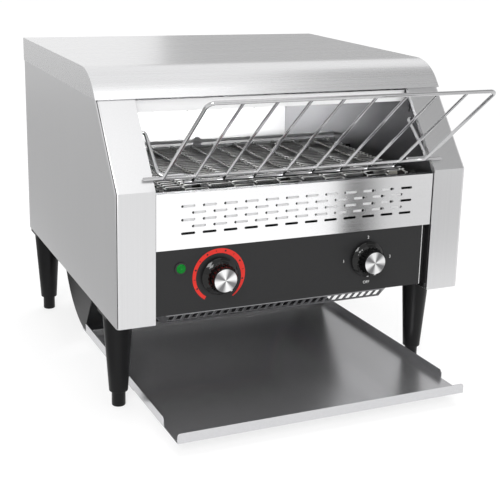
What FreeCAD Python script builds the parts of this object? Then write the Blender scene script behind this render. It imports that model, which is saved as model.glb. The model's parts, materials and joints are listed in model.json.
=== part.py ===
import FreeCAD, Part
import math
import os

# Conveyor toaster, in millimetres
# +X is to the right of someone in front of it, +Y goes into it, +Z is up
# The origin is the middle of the bounding box, on the surface that the feet stand on

V = FreeCAD.Vector

# Driving dimensions of the body
overall_width = 470.0
overall_height = 415.0
body_depth = 469.0
rack_reach = 133.0
tray_reach = 91.0
leg_share = 0.3036
bend_rise = 4.5
post_slope = 50.7
post_width = 47.0
cover_radius = 65.0
cover_skirt = 33.0
control_panel_height = 80.5
vent_panel_height = 67.5
hood_drop = 51.0

# Sheet metal and clearances
sheet = 1.0
thin_sheet = 0.8
seat_gap = 0.3
cover_gap = 0.3
running_gap = 0.05
overrun = 5.0
full_turn = 360.0
quarter_turn = 90.0

# Rear end: panel and screw heads stand inside the overall depth
rear_panel_sheet = 1.0
screw_head_height = 2.0
screw_head_radius = 3.5
screw_radius = 1.5
screw_hole_gap = 0.1
screw_length = 7.0
rear_flange = 16.0
rear_rail_height = 44.0
rear_rail_flange = 10.0
rear_screw_share = [0.15, 0.5, 0.85]
cover_screw_share = [-0.9, -0.45, 0.0, 0.45, 0.9]

# Front posts and panels
post_return = 12.0
fold_radius = 4.5
inner_wall_setback = 6.0
panel_setback = 2.0
vent_return = 10.0
control_setback = 3.0
control_return = 9.0
channel_setback = 1.1
control_right_gap = 9.4
control_lift = 9.0

# Slots in the vent panel
slot_rows = 5
slot_side_margin = 25.0
slot_length = 17.5
slot_height = 3.0
slot_pitch = 26.7
slot_row_pitch = 8.15
slot_top_drop = 16.0
baffle_left_inset = 28.9
baffle_right_inset = 44.7
baffle_setback = 2.5
baffle_height = 34.0
baffle_hole_radius = 2.0
baffle_hole_inset = 1.9
baffle_hole_drop = 0.7
baffle_hole_change_x = 75.0

# Guard along the lower edge of the control panel
guard_left_gap = 12.9
guard_right_gap = 60.9
guard_depth = 22.0
guard_lean = 45.0
guard_slot_pitch = 10.0
guard_slot_share = 0.66
guard_rim = 3.5
guard_flange = 7.0
guard_gusset = 14.0

# Belt loop and its shafts
belt_side_gap = 15.9
belt_drop = 1.0
front_shaft_setback = 47.0
rear_shaft_inset = 218.0
belt_pitch_wanted = 9.5
sprocket_teeth = 11
belt_wire_radius = 1.1
belt_link_width = 2.2
belt_link_height = 1.2
belt_link_share = [-0.975, -0.53, -0.19, 0.19, 0.53, 0.975]
belt_sprocket_share = [-0.7, 0.0, 0.7]
sprocket_width = 4.0
sprocket_root_gap = 0.5
tooth_width_share = 0.42
tooth_rise = 1.0
hub_radius = 9.0
hub_width = 14.0
shaft_radius = 5.0
shaft_overhang = 10.0
bearing_radius = 9.0
bearing_flange_radius = 12.0
bearing_flange = 2.0
bearing_length = 7.0
rail_height = 6.0
rail_width = 1.6
rail_share = [-0.8, -0.45, -0.1, 0.27, 0.6, 0.88]
rail_rod_radius = 2.5
rail_rod_inset = 25.0

# Heaters
heater_radius = 5.0
heater_wall = 1.0
coil_radius = 2.6
ceramic_radius = 7.0
ceramic_length = 24.0
ceramic_outside = 10.0
ceramic_grip = 8.0
ceramic_clearance = 0.1
upper_heater_drop = 55.0
upper_heater_share = [0.485, 0.74, 0.995]
lower_heater_share = [0.24, 0.5, 0.76]
reflector_drop = 41.0
guard_rod_radius = 1.2
guard_bar_radius = 1.6
heater_guard_rods = 7
heater_guard_drop = 63.0
heater_guard_inset = 8.0
hood_strip_setback = 6.0
hood_strip_return = 8.0
hood_strip_gap = 3.2

# Chamber
heat_shield_rise = 22.5
chamber_rear_setback = 22.0
drop_length = 197.0
guide_rod_radius = 2.4
guide_rod_gap = 5.0
guide_rod_rise = 3.5
guide_rod_drop = 8.0
guide_lug_x = -33.0
guide_lug_width = 12.0
guide_lug_rise = 6.0

# Return chute under the body
chute_inset = 43.0
chute_radius_rise = 4.0
chute_slope = 52.0
chute_start_inset = 168.0
chute_sheet_inset = 6.0
chute_lip = 12.0
cheek_length = 240.0
cheek_flange = 7.0

# Toast tray
tray_front_height = 17.0
tray_rear_height = 8.0
tray_rear_inset = 165.0
tray_flange_height = 12.0
tray_lip_height = 12.5
tray_flange_stop = 49.0
tray_corner = 4.0
tray_rail_setback = 78.0
tray_rail_width = 14.0
tray_rail_height = 2.5
tray_rail_riser = 22.0

# Feed rack
rack_bar_radius = 2.3
rack_frame_radius = 2.2
rack_rod_radius = 1.7
rack_corner = 9.0
hook_bend = 5.0
rack_rod_pitch = 39.0
rack_side_gap = 10.4
rack_top_drop = 6.5
rack_bar_overhang = 24.0
rack_seat_rise = 17.8
rack_catch_reach = 15.0
rack_catch_inset = 28.8
rack_arm_gap = 5.9
rack_arm_foot = 30.0
rack_arm_bend = 9.0
rack_arm_lift = 2.6
hook_setback = 11.0
hook_drop = 19.0
hook_clearance = 0.08
hook_slot_width = 3.0
hook_slot_height = 9.0
hook_slot_rise = 7.0

# Legs and feet
leg_inset = 22.0
leg_front_setback = 68.0
leg_rear_inset = 26.0
leg_plate = 40.0
leg_plate_height = 5.0
leg_top_radius = 18.5
leg_bottom_radius = 11.8
foot_exposed = 20.0
foot_radius = 8.6
foot_edge = 1.5
foot_engaged = 38.0
foot_travel_room = 22.0
leg_bolt_radius = 3.0
leg_bolt_head_radius = 5.5
leg_bolt_head_height = 4.0
leg_bolt_length = 14.0

# Controls on the panel
colour_knob_inset = 78.9
selector_knob_inset = 90.9
knob_rise = 43.2
knob_skirt_radius = 23.0
knob_skirt_height = 3.0
knob_shoulder_radius = 16.8
knob_shoulder_height = 7.5
knob_front_radius = 15.4
knob_height = 22.0
knob_lift = 0.6
knob_flutes = 18
knob_flute_radius = 1.6
cap_radius = 14.2
cap_thickness = 1.0
cap_recess = 0.8
cap_clearance = 0.1
spindle_radius = 3.0
spindle_depth = 16.0
bush_radius = 4.8
bush_clearance = 0.2
control_body_radius = 14.0
control_body_depth = 20.0
board_width = 50.0
board_height = 34.0
board_sheet = 1.6
switch_size = 44.0
switch_depth = 38.0
lamp_inset = 30.3
lamp_rise = 57.0
lamp_radius = 6.2
lamp_bezel_radius = 7.4
lamp_bezel_height = 1.6
lamp_lens_height = 4.5
lamp_body_radius = 5.2
lamp_body_depth = 24.0
scale_outer_radius = 33.7
scale_start_width = 4.2
scale_full_width = 6.2
scale_tail_width = 1.4
scale_thickness = 0.3
scale_dot_radius = 1.2
scale_dot_inset = 2.7
scale_dot_angles = [-117.0, -73.0, -29.0, 15.0, 59.0, 103.0]
scale_tick_angles = [-95.0, -51.0, -7.0, 37.0, 81.0]
scale_tick_width = 0.7
scale_tick_length = 2.6
scale_start_angle = -147.0
scale_full_angle = 75.0
scale_end_angle = 147.0

# Drive in the right housing
chain_inset = 33.0
chain_pitch_wanted = 6.35
chain_fit_steps = 40
driven_teeth = 24
motor_teeth = 13
chain_roller_radius = 1.6
chain_roller_width = 3.2
chain_plate = 0.9
chain_plate_height = 5.0
chain_sprocket_width = 2.4
chain_tooth_rise = 1.2
motor_setback = 63.0
motor_rise = 51.0
motor_shaft_radius = 4.0
gearbox_length = 52.0
gearbox_size = 58.0
motor_radius = 24.0
motor_length = 62.0

# Fan in the base
fan_x = 0.0
fan_setback = 93.0
fan_size = 80.0
fan_depth = 25.0
fan_bore_radius = 38.0
fan_hub_radius = 16.0
fan_blades = 7
fan_blade_sheet = 1.2
fan_blade_gap = 1.5
fan_blade_lean = 38.0
fan_pin_radius = 2.0
fan_strut = 3.0
fan_base = 4.0
grille_slots = 9
grille_slot = 3.5
grille_rim = 2.0

# Other things inside
terminal_inset = 65.9
terminal_gap = 44.0
terminal_length = 62.0
terminal_depth = 20.0
terminal_height = 20.0
terminal_ways = 6
terminal_hole_radius = 2.2
thermostat_radius = 9.0
thermostat_height = 10.0
gland_inset = 22.0
gland_rear_inset = 111.0
gland_bore_radius = 4.5
gland_throat_radius = 5.5
gland_seal_drop = 2.0
gland_body_radius = 8.0
gland_nut_radius = 12.0
gland_nut_height = 6.0
gland_outside = 20.0
gland_inside = 10.0

# Places that follow from the sizes above
half_width = overall_width / 2
overall_depth = body_depth + rack_reach
rear_y = overall_depth / 2
front_y = rear_y - body_depth
rear_face_y = rear_y - screw_head_height
housing_rear_y = rear_face_y - rear_panel_sheet
housing_x = half_width - sheet
post_inner_x = housing_x - post_width
wall_x = post_inner_x - thin_sheet
inside_x = wall_x - seat_gap
cover_proud = sheet + cover_gap

# Levels from the legs up, and from the top down
leg_height = float(round(overall_height * leg_share))
control_bottom = leg_height + control_lift
panel_split_height = control_bottom + control_panel_height
vent_panel_top = panel_split_height + vent_panel_height
bend_height = vent_panel_top + bend_rise
belt_top = vent_panel_top - belt_drop
heat_shield_height = panel_split_height + heat_shield_rise
guide_rod_height = belt_top + guide_rod_rise
rack_seat_height = vent_panel_top + rack_seat_rise
knob_height_z = control_bottom + knob_rise
lamp_z = control_bottom + lamp_rise
motor_z = control_bottom + motor_rise
base_z = control_bottom + sheet
compartment_top = heat_shield_height
hood_height = overall_height - hood_drop
hook_height = hood_height - hook_drop
upper_heater_height = overall_height - upper_heater_drop
heater_guard_height = overall_height - heater_guard_drop
reflector_height = overall_height - reflector_drop
rack_top_height = overall_height - rack_top_drop
thermostat_z = (belt_top + upper_heater_height) / 2

# Slope of the posts and the roll of the cover
slope = math.radians(post_slope)
slope_cos = math.cos(slope)
slope_sin = math.sin(slope)
cover_centre_z = overall_height - cover_radius
cover_rise = (cover_centre_z - bend_height) * slope_cos + cover_radius - cover_proud
cover_centre_y = front_y + cover_rise / slope_sin

# Places from the front to the rear
front_shaft_y = front_y + front_shaft_setback
rear_shaft_y = rear_y - rear_shaft_inset
shaft_distance = rear_shaft_y - front_shaft_y
drop_front_y = rear_y - drop_length
drop_rear_y = rear_y - chamber_rear_setback
guide_rod_y = drop_front_y + guide_rod_gap
upper_heater_y = [front_shaft_y + share * shaft_distance for share in upper_heater_share]
heater_guard_front = upper_heater_y[0] + heater_guard_inset
thermostat_y = (upper_heater_y[-1] + upper_heater_y[-2]) / 2
control_front_y = front_y + control_setback
control_back_y = control_front_y + sheet
fan_y = front_y + fan_setback
motor_y = rear_shaft_y - motor_setback
terminal_y = drop_front_y - terminal_gap
leg_front_y = front_y + leg_front_setback
leg_rear_y = rear_y - leg_rear_inset
gland_y = rear_y - gland_rear_inset
chute_radius = leg_height + chute_radius_rise
chute_start_y = rear_y - chute_start_inset
cheek_front_top_y = rear_y - cheek_length
tray_rear_y = rear_y - tray_rear_inset
tray_rail_front_y = front_y + tray_rail_setback

# Places from side to side
control_right_edge = inside_x - control_right_gap
baffle_left = baffle_left_inset - inside_x
baffle_right = inside_x - baffle_right_inset
guard_left = guard_left_gap - inside_x
guard_right = inside_x - guard_right_gap
belt_half_width = inside_x - belt_side_gap
rack_half_width = inside_x - rack_side_gap
rack_catch_half_width = rack_half_width - rack_catch_inset
rack_arm_x = inside_x - rack_arm_gap
chute_half_width = half_width - chute_inset
tray_half_width = chute_half_width
leg_x = half_width - leg_inset
gland_x = half_width - gland_inset
chain_x = half_width - chain_inset
lamp_x = lamp_inset - inside_x
colour_knob_x = colour_knob_inset - inside_x
selector_knob_x = inside_x - selector_knob_inset
terminal_x = terminal_inset - inside_x

# Numbers of repeated things that fit these sizes
slots_per_row = int(2 * (inside_x - slot_side_margin) / slot_pitch)
guard_slots = round((guard_right - guard_left - 2 * guard_rim) / guard_slot_pitch)
rack_rods = round(2 * rack_half_width / rack_rod_pitch) + 1
belt_wires = sprocket_teeth + round(2 * shaft_distance / belt_pitch_wanted)
belt_pitch = 2 * shaft_distance / (belt_wires - sprocket_teeth)
belt_radius = sprocket_teeth * belt_pitch / (2 * math.pi)
shaft_z = belt_top - belt_wire_radius - belt_radius


# Basic solids

def box(x0, x1, y0, y1, z0, z1):
    return Part.makeBox(x1 - x0, y1 - y0, z1 - z0, V(x0, y0, z0))


def rod_x(x0, x1, y, z, radius):
    return Part.makeCylinder(radius, x1 - x0, V(x0, y, z), V(1, 0, 0))


def rod_y(y0, y1, x, z, radius):
    return Part.makeCylinder(radius, y1 - y0, V(x, y0, z), V(0, 1, 0))


def rod_z(z0, z1, x, y, radius):
    return Part.makeCylinder(radius, z1 - z0, V(x, y, z0), V(0, 0, 1))


def bar(start, end, radius):
    run = end.sub(start)
    return Part.makeCylinder(radius, run.Length, start, run)


def bent_path(points, bends):
    edges = []
    start = points[0]
    for before, corner, after, bend in zip(points, points[1:], points[2:], bends):
        back = before.sub(corner).normalize()
        ahead = after.sub(corner).normalize()
        half = back.getAngle(ahead) / 2
        bisector = back.add(ahead).normalize()
        reach = bend / math.tan(half)
        depth = bend / math.sin(half) - bend
        first = corner + back * reach
        last = corner + ahead * reach
        edges.append(Part.makeLine(start, first))
        edges.append(Part.Arc(first, corner + bisector * depth, last).toShape())
        start = last
    edges.append(Part.makeLine(start, points[-1]))
    return Part.Wire(edges)


def bent_rod(points, bends, radius):
    section = Part.Wire(Part.makeCircle(radius, points[0], points[1].sub(points[0])))
    return bent_path(points, bends).makePipeShell([section], True, False)


def joined(shapes):
    first = shapes[0]
    return first.multiFuse(shapes[1:]).removeSplitter()


def prism_x(points, x0, x1):
    corners = [V(x0, y, z) for y, z in points]
    wire = Part.makePolygon(corners + corners[:1])
    return Part.Face(wire).extrude(V(x1 - x0, 0, 0))


def mirror_x(shape):
    return shape.mirror(V(0, 0, 0), V(1, 0, 0))


def slot_wire(cx, cz, length, height, y):
    radius = height / 2
    left = cx - length / 2 + radius
    right = cx + length / 2 - radius
    top = Part.makeLine(V(left, y, cz + radius), V(right, y, cz + radius))
    end = Part.Arc(V(right, y, cz + radius), V(right + radius, y, cz), V(right, y, cz - radius)).toShape()
    low = Part.makeLine(V(right, y, cz - radius), V(left, y, cz - radius))
    start = Part.Arc(V(left, y, cz - radius), V(left - radius, y, cz), V(left, y, cz + radius)).toShape()
    return Part.Wire([top, end, low, start])


# Outline of the body in side view, moved in from the posts' faces by a setback

def face_z(y, setback):
    run = (y - front_y) * slope_sin - setback
    return bend_height + run / slope_cos


def face_y(z, setback):
    return front_y + ((z - bend_height) * slope_cos + setback) / slope_sin


def body_outline(setback, low_z, back_y, x):
    radius = cover_radius - cover_proud - setback
    top_z = cover_centre_z + radius
    lean = math.radians((quarter_turn * 2 - post_slope) / 2)
    rolled_start = V(x, cover_centre_y, top_z)
    middle_angle = slope / 2
    rolled_middle = V(x, cover_centre_y - radius * math.sin(middle_angle),
                      cover_centre_z + radius * math.cos(middle_angle))
    rolled_end = V(x, cover_centre_y - radius * slope_sin, cover_centre_z + radius * slope_cos)
    post_y = front_y + setback
    bend = V(x, post_y, bend_height - setback / math.tan(lean))
    low_front = V(x, post_y, low_z)
    low_back = V(x, back_y, low_z)
    top_back = V(x, back_y, top_z)
    edges = [Part.makeLine(top_back, rolled_start),
             Part.Arc(rolled_start, rolled_middle, rolled_end).toShape(),
             Part.makeLine(rolled_end, bend),
             Part.makeLine(bend, low_front),
             Part.makeLine(low_front, low_back),
             Part.makeLine(low_back, top_back)]
    return Part.Face(Part.Wire(edges))


def body_prism(setback, low_z, back_y, x0, x1):
    return body_outline(setback, low_z, back_y, x0).extrude(V(x1 - x0, 0, 0))


# Cover: a sheet rolled down at the front, with skirts at the sides and the rear

def top_cover():
    skirt_z = overall_height - cover_skirt
    outer = body_prism(-cover_proud, leg_height, rear_face_y, -half_width, half_width)
    inner = body_prism(-cover_gap, leg_height - overrun, rear_face_y - rear_panel_sheet,
                       sheet - half_width, half_width - sheet)
    below = box(-overall_width, overall_width, -overall_depth, overall_depth, 0, skirt_z)
    shell = outer.cut(inner).cut(below)
    return shell.cut(cover_screw_holes())


def cover_screw_places():
    skirt_middle = overall_height - cover_skirt / 2
    return [(share * housing_x, skirt_middle) for share in cover_screw_share]


def rear_screw_places():
    low = leg_height
    high = overall_height - cover_skirt
    side = housing_x - rear_flange / 2
    return [(sign * side, low + share * (high - low)) for share in rear_screw_share for sign in (-1, 1)]


def drill_rear(places):
    radius = screw_radius + screw_hole_gap
    return [rod_y(rear_y - screw_length - overrun, rear_y + overrun, x, z, radius) for x, z in places]


def cover_screw_holes():
    return drill_rear(cover_screw_places())


def rear_screws():
    screws = []
    for x, z in cover_screw_places() + rear_screw_places():
        shank = rod_y(rear_y - screw_length, rear_face_y, x, z, screw_radius)
        head = rod_y(rear_face_y, rear_y, x, z, screw_head_radius)
        screws.append(joined([shank, head]))
    return Part.makeCompound(screws)


# Side housing: outer wall, bent front post with its return, floor and rear flange in one sheet

def side_housing(sign):
    outer = body_prism(0, leg_height, housing_rear_y, post_inner_x, housing_x)
    hollow = body_prism(sheet, leg_height + sheet, housing_rear_y - sheet,
                        post_inner_x + sheet, housing_x - sheet)
    behind = body_prism(post_return, leg_height + sheet, housing_rear_y + overrun,
                        post_inner_x - overrun, post_inner_x + sheet + overrun)
    rear_window = box(post_inner_x - overrun, housing_x - rear_flange, housing_rear_y - sheet - overrun,
                      housing_rear_y + overrun, leg_height + sheet, overall_height)
    shell = outer.cut(hollow).cut(behind).cut(rear_window)
    shell = shell.common(folded_corner(outer))
    shell = shell.cut(drill_rear(rear_screw_places() + cover_screw_places()))
    shell = shell.cut(leg_bolt_holes() + hook_cuts())
    if sign > 0:
        hole = rod_z(0, leg_height + overrun, gland_x, gland_y, gland_body_radius + bush_clearance)
        return shell.cut(hole)
    return mirror_x(shell)


def folded_corner(outer):
    edges = []
    for edge in outer.Edges:
        ends = [vertex.Point for vertex in edge.Vertexes]
        at_side = all(abs(end.x - housing_x) < seat_gap for end in ends)
        if at_side and all(on_post_face(end) for end in ends):
            edges.append(edge)
    return outer.makeFillet(fold_radius, edges)


def on_post_face(point):
    upright = abs(point.y - front_y) < seat_gap
    leaning = abs(face_z(point.y, 0) - point.z) < seat_gap
    return upright or leaning


# Inner walls of the toasting chamber

def inner_wall(sign):
    wall = body_prism(inner_wall_setback, leg_height + sheet, housing_rear_y, wall_x, post_inner_x)
    upper, lower = heater_places()
    hole = ceramic_radius + ceramic_clearance
    cuts = [rod_x(0, half_width, y, z, hole) for y, z in upper + lower]
    for y in (front_shaft_y, rear_shaft_y):
        cuts.append(rod_x(0, half_width, y, shaft_z, bearing_radius))
    cuts += hook_cuts()
    if sign > 0:
        cuts.append(rod_x(0, half_width, motor_y, motor_z, motor_shaft_radius + bush_clearance))
        return wall.cut(cuts)
    return mirror_x(wall.cut(cuts))


def hook_place():
    return face_y(hook_height, hook_setback), hook_height


def hook_cuts():
    y, z = hook_place()
    end = post_inner_x + 2 * sheet
    slot_z = z + hook_slot_rise
    slot_y = face_y(slot_z, hook_setback)
    return [rod_x(0, end, y, z, rack_frame_radius + hook_clearance),
            box(0, end, slot_y, slot_y + hook_slot_width, slot_z, slot_z + hook_slot_height)]


def lower_heater_places():
    return [front_shaft_y + share * shaft_distance for share in lower_heater_share]


# Rear panel with its louvre slots

def rear_panel():
    top = overall_height - cover_skirt - seat_gap
    low = leg_height
    slots = []
    middle = (top + low) / 2
    for row in range(slot_rows):
        z = middle + (row - (slot_rows - 1) / 2) * slot_pitch / 2
        for column in range(slots_per_row):
            x = (column - (slots_per_row - 1) / 2) * slot_pitch
            slots.append(slot_wire(x, z, slot_length, slot_height, housing_rear_y))
    outer = Part.makePolygon([V(-housing_x, housing_rear_y, low), V(housing_x, housing_rear_y, low),
                              V(housing_x, housing_rear_y, top), V(-housing_x, housing_rear_y, top),
                              V(-housing_x, housing_rear_y, low)])
    plate = Part.Face([outer] + slots).extrude(V(0, rear_panel_sheet, 0))
    return plate.cut(drill_rear(rear_screw_places()))


# Channel between the housings that the cover and the rear panel screw to

def rear_rail():
    top = overall_height - cover_proud - cover_gap
    low = top - rear_rail_height
    front = housing_rear_y - rear_rail_flange
    web = box(-inside_x, inside_x, housing_rear_y - sheet, housing_rear_y, low, top)
    upper = box(-inside_x, inside_x, front, housing_rear_y, top - sheet, top)
    lower = box(-inside_x, inside_x, front, housing_rear_y, low, low + sheet)
    return joined([web, upper, lower]).cut(drill_rear(cover_screw_places()))


# Chamber's rear wall: a bright plate that also guides the toast down to the chute

def chamber_rear_wall():
    foot = box(-inside_x, inside_x, drop_rear_y, housing_rear_y, leg_height + sheet, leg_height + 2 * sheet)
    plate = box(-inside_x, inside_x, drop_rear_y, drop_rear_y + sheet, leg_height + sheet, reflector_height)
    return joined([plate, foot])


# Base pan of the control compartment, folded up behind

def base_pan():
    z = base_z
    step_x = control_right_edge - sheet - seat_gap
    step_y = control_front_y + control_return + seat_gap
    corners = [V(-inside_x, control_back_y, z), V(step_x, control_back_y, z), V(step_x, step_y, z),
               V(inside_x, step_y, z), V(inside_x, drop_front_y, z), V(-inside_x, drop_front_y, z)]
    outer = Part.makePolygon(corners + corners[:1])
    floor = Part.Face(outer).extrude(V(0, 0, sheet))
    upstand = box(-inside_x, inside_x, drop_front_y - sheet, drop_front_y, z, compartment_top)
    grille = []
    reach = fan_bore_radius - grille_rim
    for row in range(grille_slots):
        offset = (row - (grille_slots - 1) / 2) * 2 * reach / grille_slots
        half = math.sqrt(reach * reach - offset * offset)
        grille.append(box(fan_x - half, fan_x + half, fan_y + offset - grille_slot / 2,
                          fan_y + offset + grille_slot / 2, z - overrun, z + sheet + overrun))
    return joined([floor, upstand]).cut(grille)


# Heat shield under the belt, folded up in front as a baffle behind the vent slots

def heat_shield():
    z = heat_shield_height
    back = front_y + panel_setback + vent_return + seat_gap
    front = front_y + panel_setback + baffle_setback
    plate = box(-inside_x, inside_x, back, drop_front_y, z, z + sheet)
    tongue = box(baffle_left, baffle_right, front, back, z, z + sheet)
    baffle = box(baffle_left, baffle_right, front, front + sheet, z, z + baffle_height)
    return joined([plate, tongue, baffle.cut(baffle_holes(front))])


def baffle_holes(y):
    holes = []
    for x, slot_z in slot_places():
        hole_z = slot_z - baffle_hole_drop
        offset = slot_length / 2 - baffle_hole_inset
        hole_x = x + offset if x > baffle_hole_change_x else x - offset
        inside = hole_x + baffle_hole_radius < baffle_right
        if inside and hole_z - baffle_hole_radius > heat_shield_height + seat_gap:
            holes.append(rod_y(y - sheet, y + 2 * sheet, hole_x, hole_z, baffle_hole_radius))
    return holes


# Bright ceiling over the upper heaters and the strip that closes the opening above

def strip_y():
    return face_y(overall_height - cover_skirt, 0) + hood_strip_setback


def upper_reflector():
    return box(-inside_x, inside_x, strip_y() + sheet, drop_rear_y + sheet,
               reflector_height, reflector_height + sheet)


def hood_strip():
    y = strip_y()
    top = overall_height - cover_skirt - hood_strip_gap
    plate = box(-inside_x, inside_x, y, y + sheet, hood_height, top)
    lower = box(-inside_x, inside_x, y, y + hood_strip_return, hood_height, hood_height + sheet)
    return joined([plate, lower])


# Vent panel between the posts

def slot_places():
    places = []
    for row in range(slot_rows):
        shift = row % 2
        count = slots_per_row - shift
        z = vent_panel_top - slot_top_drop - row * slot_row_pitch
        for column in range(count):
            places.append(((column - (count - 1) / 2) * slot_pitch, z))
    return places


def vent_panel():
    y = front_y + panel_setback
    low = panel_split_height
    x = wall_x - seat_gap
    corners = [V(-x, y, low), V(x, y, low), V(x, y, vent_panel_top), V(-x, y, vent_panel_top)]
    outer = Part.makePolygon(corners + corners[:1])
    slots = [slot_wire(sx, sz, slot_length, slot_height, y) for sx, sz in slot_places()]
    plate = Part.Face([outer] + slots).extrude(V(0, sheet, 0))
    top = box(-x, x, y, y + vent_return, vent_panel_top - sheet, vent_panel_top)
    bottom = box(-x, x, y, y + vent_return, low, low + sheet)
    left = box(-x, sheet - x, y, y + vent_return, low, vent_panel_top)
    right = box(x - sheet, x, y, y + vent_return, low, vent_panel_top)
    return joined([plate, top, bottom, left, right])


# Control panel: a shallow tray whose right edge steps back before it meets the post

def control_panel():
    y0 = control_front_y
    y1 = y0 + control_return
    left = -inside_x
    right = control_right_edge
    top = panel_split_height - seat_gap
    outer = box(left, right, y0, y1, control_bottom, top)
    inner = box(left + sheet, right - sheet, y0 + sheet, y1 + overrun, control_bottom + sheet, top - sheet)
    holes = [rod_y(y0 - overrun, y1 + overrun, x, knob_height_z, bush_radius + bush_clearance)
             for x in (colour_knob_x, selector_knob_x)]
    holes.append(rod_y(y0 - overrun, y1 + overrun, lamp_x, lamp_z, lamp_body_radius + bush_clearance))
    channel_back = box(right - sheet, inside_x, y1 - sheet, y1, control_bottom, top)
    channel_side = box(inside_x - sheet, inside_x, front_y + channel_setback, y1, control_bottom, top)
    notch = box(left - overrun, right - sheet, y0 + sheet, y1 + overrun,
                control_bottom + sheet, base_z + sheet)
    return joined([outer.cut(inner), channel_back, channel_side]).cut(holes).cut(notch)


# Slotted guard that leans back under the panel

def lower_guard():
    pitch = (guard_right - guard_left - 2 * guard_rim) / guard_slots
    width = pitch * guard_slot_share
    plate = box(guard_left, guard_right, 0, sheet, -guard_depth, 0)
    holes = []
    for index in range(guard_slots):
        x = guard_left + guard_rim + (index + (1 - guard_slot_share) / 2) * pitch
        holes.append(box(x, x + width, -overrun, overrun, guard_rim - guard_depth, -guard_rim))
    gusset_corners = [V(guard_left, 0, 0), V(guard_left - guard_gusset, 0, 0), V(guard_left, 0, -guard_depth)]
    gusset = Part.Face(Part.makePolygon(gusset_corners + gusset_corners[:1])).extrude(V(0, sheet, 0))
    leaning = joined([plate.cut(holes), gusset])
    leaning.rotate(V(0, 0, 0), V(1, 0, 0), guard_lean)
    leaning.translate(V(0, control_front_y, control_bottom))
    flange = box(guard_left, guard_right, control_front_y, control_front_y + guard_flange,
                 control_bottom - sheet, control_bottom)
    above = box(-half_width, half_width, front_y - overrun, rear_y, control_bottom, overall_height)
    return joined([leaning.cut(above), flange])


# A loop round two wheels in side view: top run, wheel, bottom run, wheel

class Loop:
    def __init__(self, y1, z1, r1, y2, z2, r2):
        self.first = (y1, z1, r1)
        self.second = (y2, z2, r2)
        self.distance = math.hypot(y2 - y1, z2 - z1)
        self.heading = math.atan2(z2 - z1, y2 - y1)
        self.spread = math.acos((r1 - r2) / self.distance)
        self.arc1 = r1 * (2 * math.pi - 2 * self.spread)
        self.run = self.distance * math.sin(self.spread)
        self.arc2 = r2 * 2 * self.spread
        self.length = self.arc1 + self.arc2 + 2 * self.run

    def on_wheel(self, wheel, angle, grow):
        y, z, radius = wheel
        return y + (radius + grow) * math.cos(angle), z + (radius + grow) * math.sin(angle)

    def point(self, travel):
        start = self.heading + self.spread
        if travel < self.arc1:
            return self.on_wheel(self.first, start + travel / self.first[2], 0)
        travel -= self.arc1
        low = self.heading - self.spread
        if travel < self.run:
            return self.between(self.first, self.second, low, travel / self.run)
        travel -= self.run
        if travel < self.arc2:
            return self.on_wheel(self.second, low + travel / self.second[2], 0)
        travel -= self.arc2
        return self.between(self.second, self.first, start, travel / self.run)

    def between(self, one, other, angle, share):
        y0, z0 = self.on_wheel(one, angle, 0)
        y1, z1 = self.on_wheel(other, angle, 0)
        return y0 + share * (y1 - y0), z0 + share * (z1 - z0)

    def wire(self, grow, x):
        high = self.heading + self.spread
        low = self.heading - self.spread
        far = self.heading + math.pi
        near = self.heading

        def at(wheel, angle):
            y, z = self.on_wheel(wheel, angle, grow)
            return V(x, y, z)

        edges = [Part.Arc(at(self.first, high), at(self.first, far), at(self.first, low)).toShape(),
                 Part.makeLine(at(self.first, low), at(self.second, low)),
                 Part.Arc(at(self.second, low), at(self.second, near), at(self.second, high)).toShape(),
                 Part.makeLine(at(self.second, high), at(self.first, high))]
        return Part.Wire(edges)

    def band(self, height, x, width):
        ring = Part.Face([self.wire(height / 2, x), self.wire(-height / 2, x)])
        ring.validate()
        return ring.extrude(V(width, 0, 0))

    def tooth_angle(self, which, pitch):
        if which == 1:
            return self.heading + self.spread + pitch / 2 / self.first[2]
        start = self.arc1 + self.run
        ahead = math.ceil(start / pitch) * pitch - start
        return self.heading - self.spread + (ahead + pitch / 2) / self.second[2]


def toothed_wheel(x0, width, y, z, root, tip, teeth, tooth_width, first_angle):
    pieces = [rod_x(x0, x0 + width, y, z, root)]
    for index in range(teeth):
        tooth = box(x0, x0 + width, 0, tip, -tooth_width / 2, tooth_width / 2)
        tooth.rotate(V(0, 0, 0), V(1, 0, 0), math.degrees(first_angle) + index * full_turn / teeth)
        tooth.translate(V(0, y, z))
        pieces.append(tooth)
    return joined(pieces)


# Belt of straight wires held at their pitch by rows of links

def belt_loop():
    return Loop(front_shaft_y, shaft_z, belt_radius, rear_shaft_y, shaft_z, belt_radius)


def conveyor_belt():
    loop = belt_loop()
    pieces = []
    for share in belt_link_share:
        x = share * belt_half_width
        pieces.append(loop.band(belt_link_height, x - belt_link_width / 2, belt_link_width))
    for index in range(belt_wires):
        y, z = loop.point(index * belt_pitch)
        pieces.append(rod_x(-belt_half_width, belt_half_width, y, z, belt_wire_radius))
    return joined(pieces)


def belt_sprockets(which):
    loop = belt_loop()
    y = front_shaft_y if which == 1 else rear_shaft_y
    root = belt_radius - belt_wire_radius - sprocket_root_gap
    tip = belt_radius + tooth_rise
    tooth = belt_pitch * tooth_width_share
    wheels = []
    for share in belt_sprocket_share:
        x = share * belt_half_width
        wheel = toothed_wheel(x - sprocket_width / 2, sprocket_width, y, shaft_z, root, tip,
                              sprocket_teeth, tooth, loop.tooth_angle(which, belt_pitch))
        hub = rod_x(x - hub_width / 2, x + hub_width / 2, y, shaft_z, hub_radius)
        bore = rod_x(x - hub_width, x + hub_width, y, shaft_z, shaft_radius)
        wheels.append(wheel.fuse(hub).removeSplitter().cut(bore))
    return Part.makeCompound(wheels)


def idler_shaft():
    end = post_inner_x + shaft_overhang
    return rod_x(-end, end, front_shaft_y, shaft_z, shaft_radius)


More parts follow.
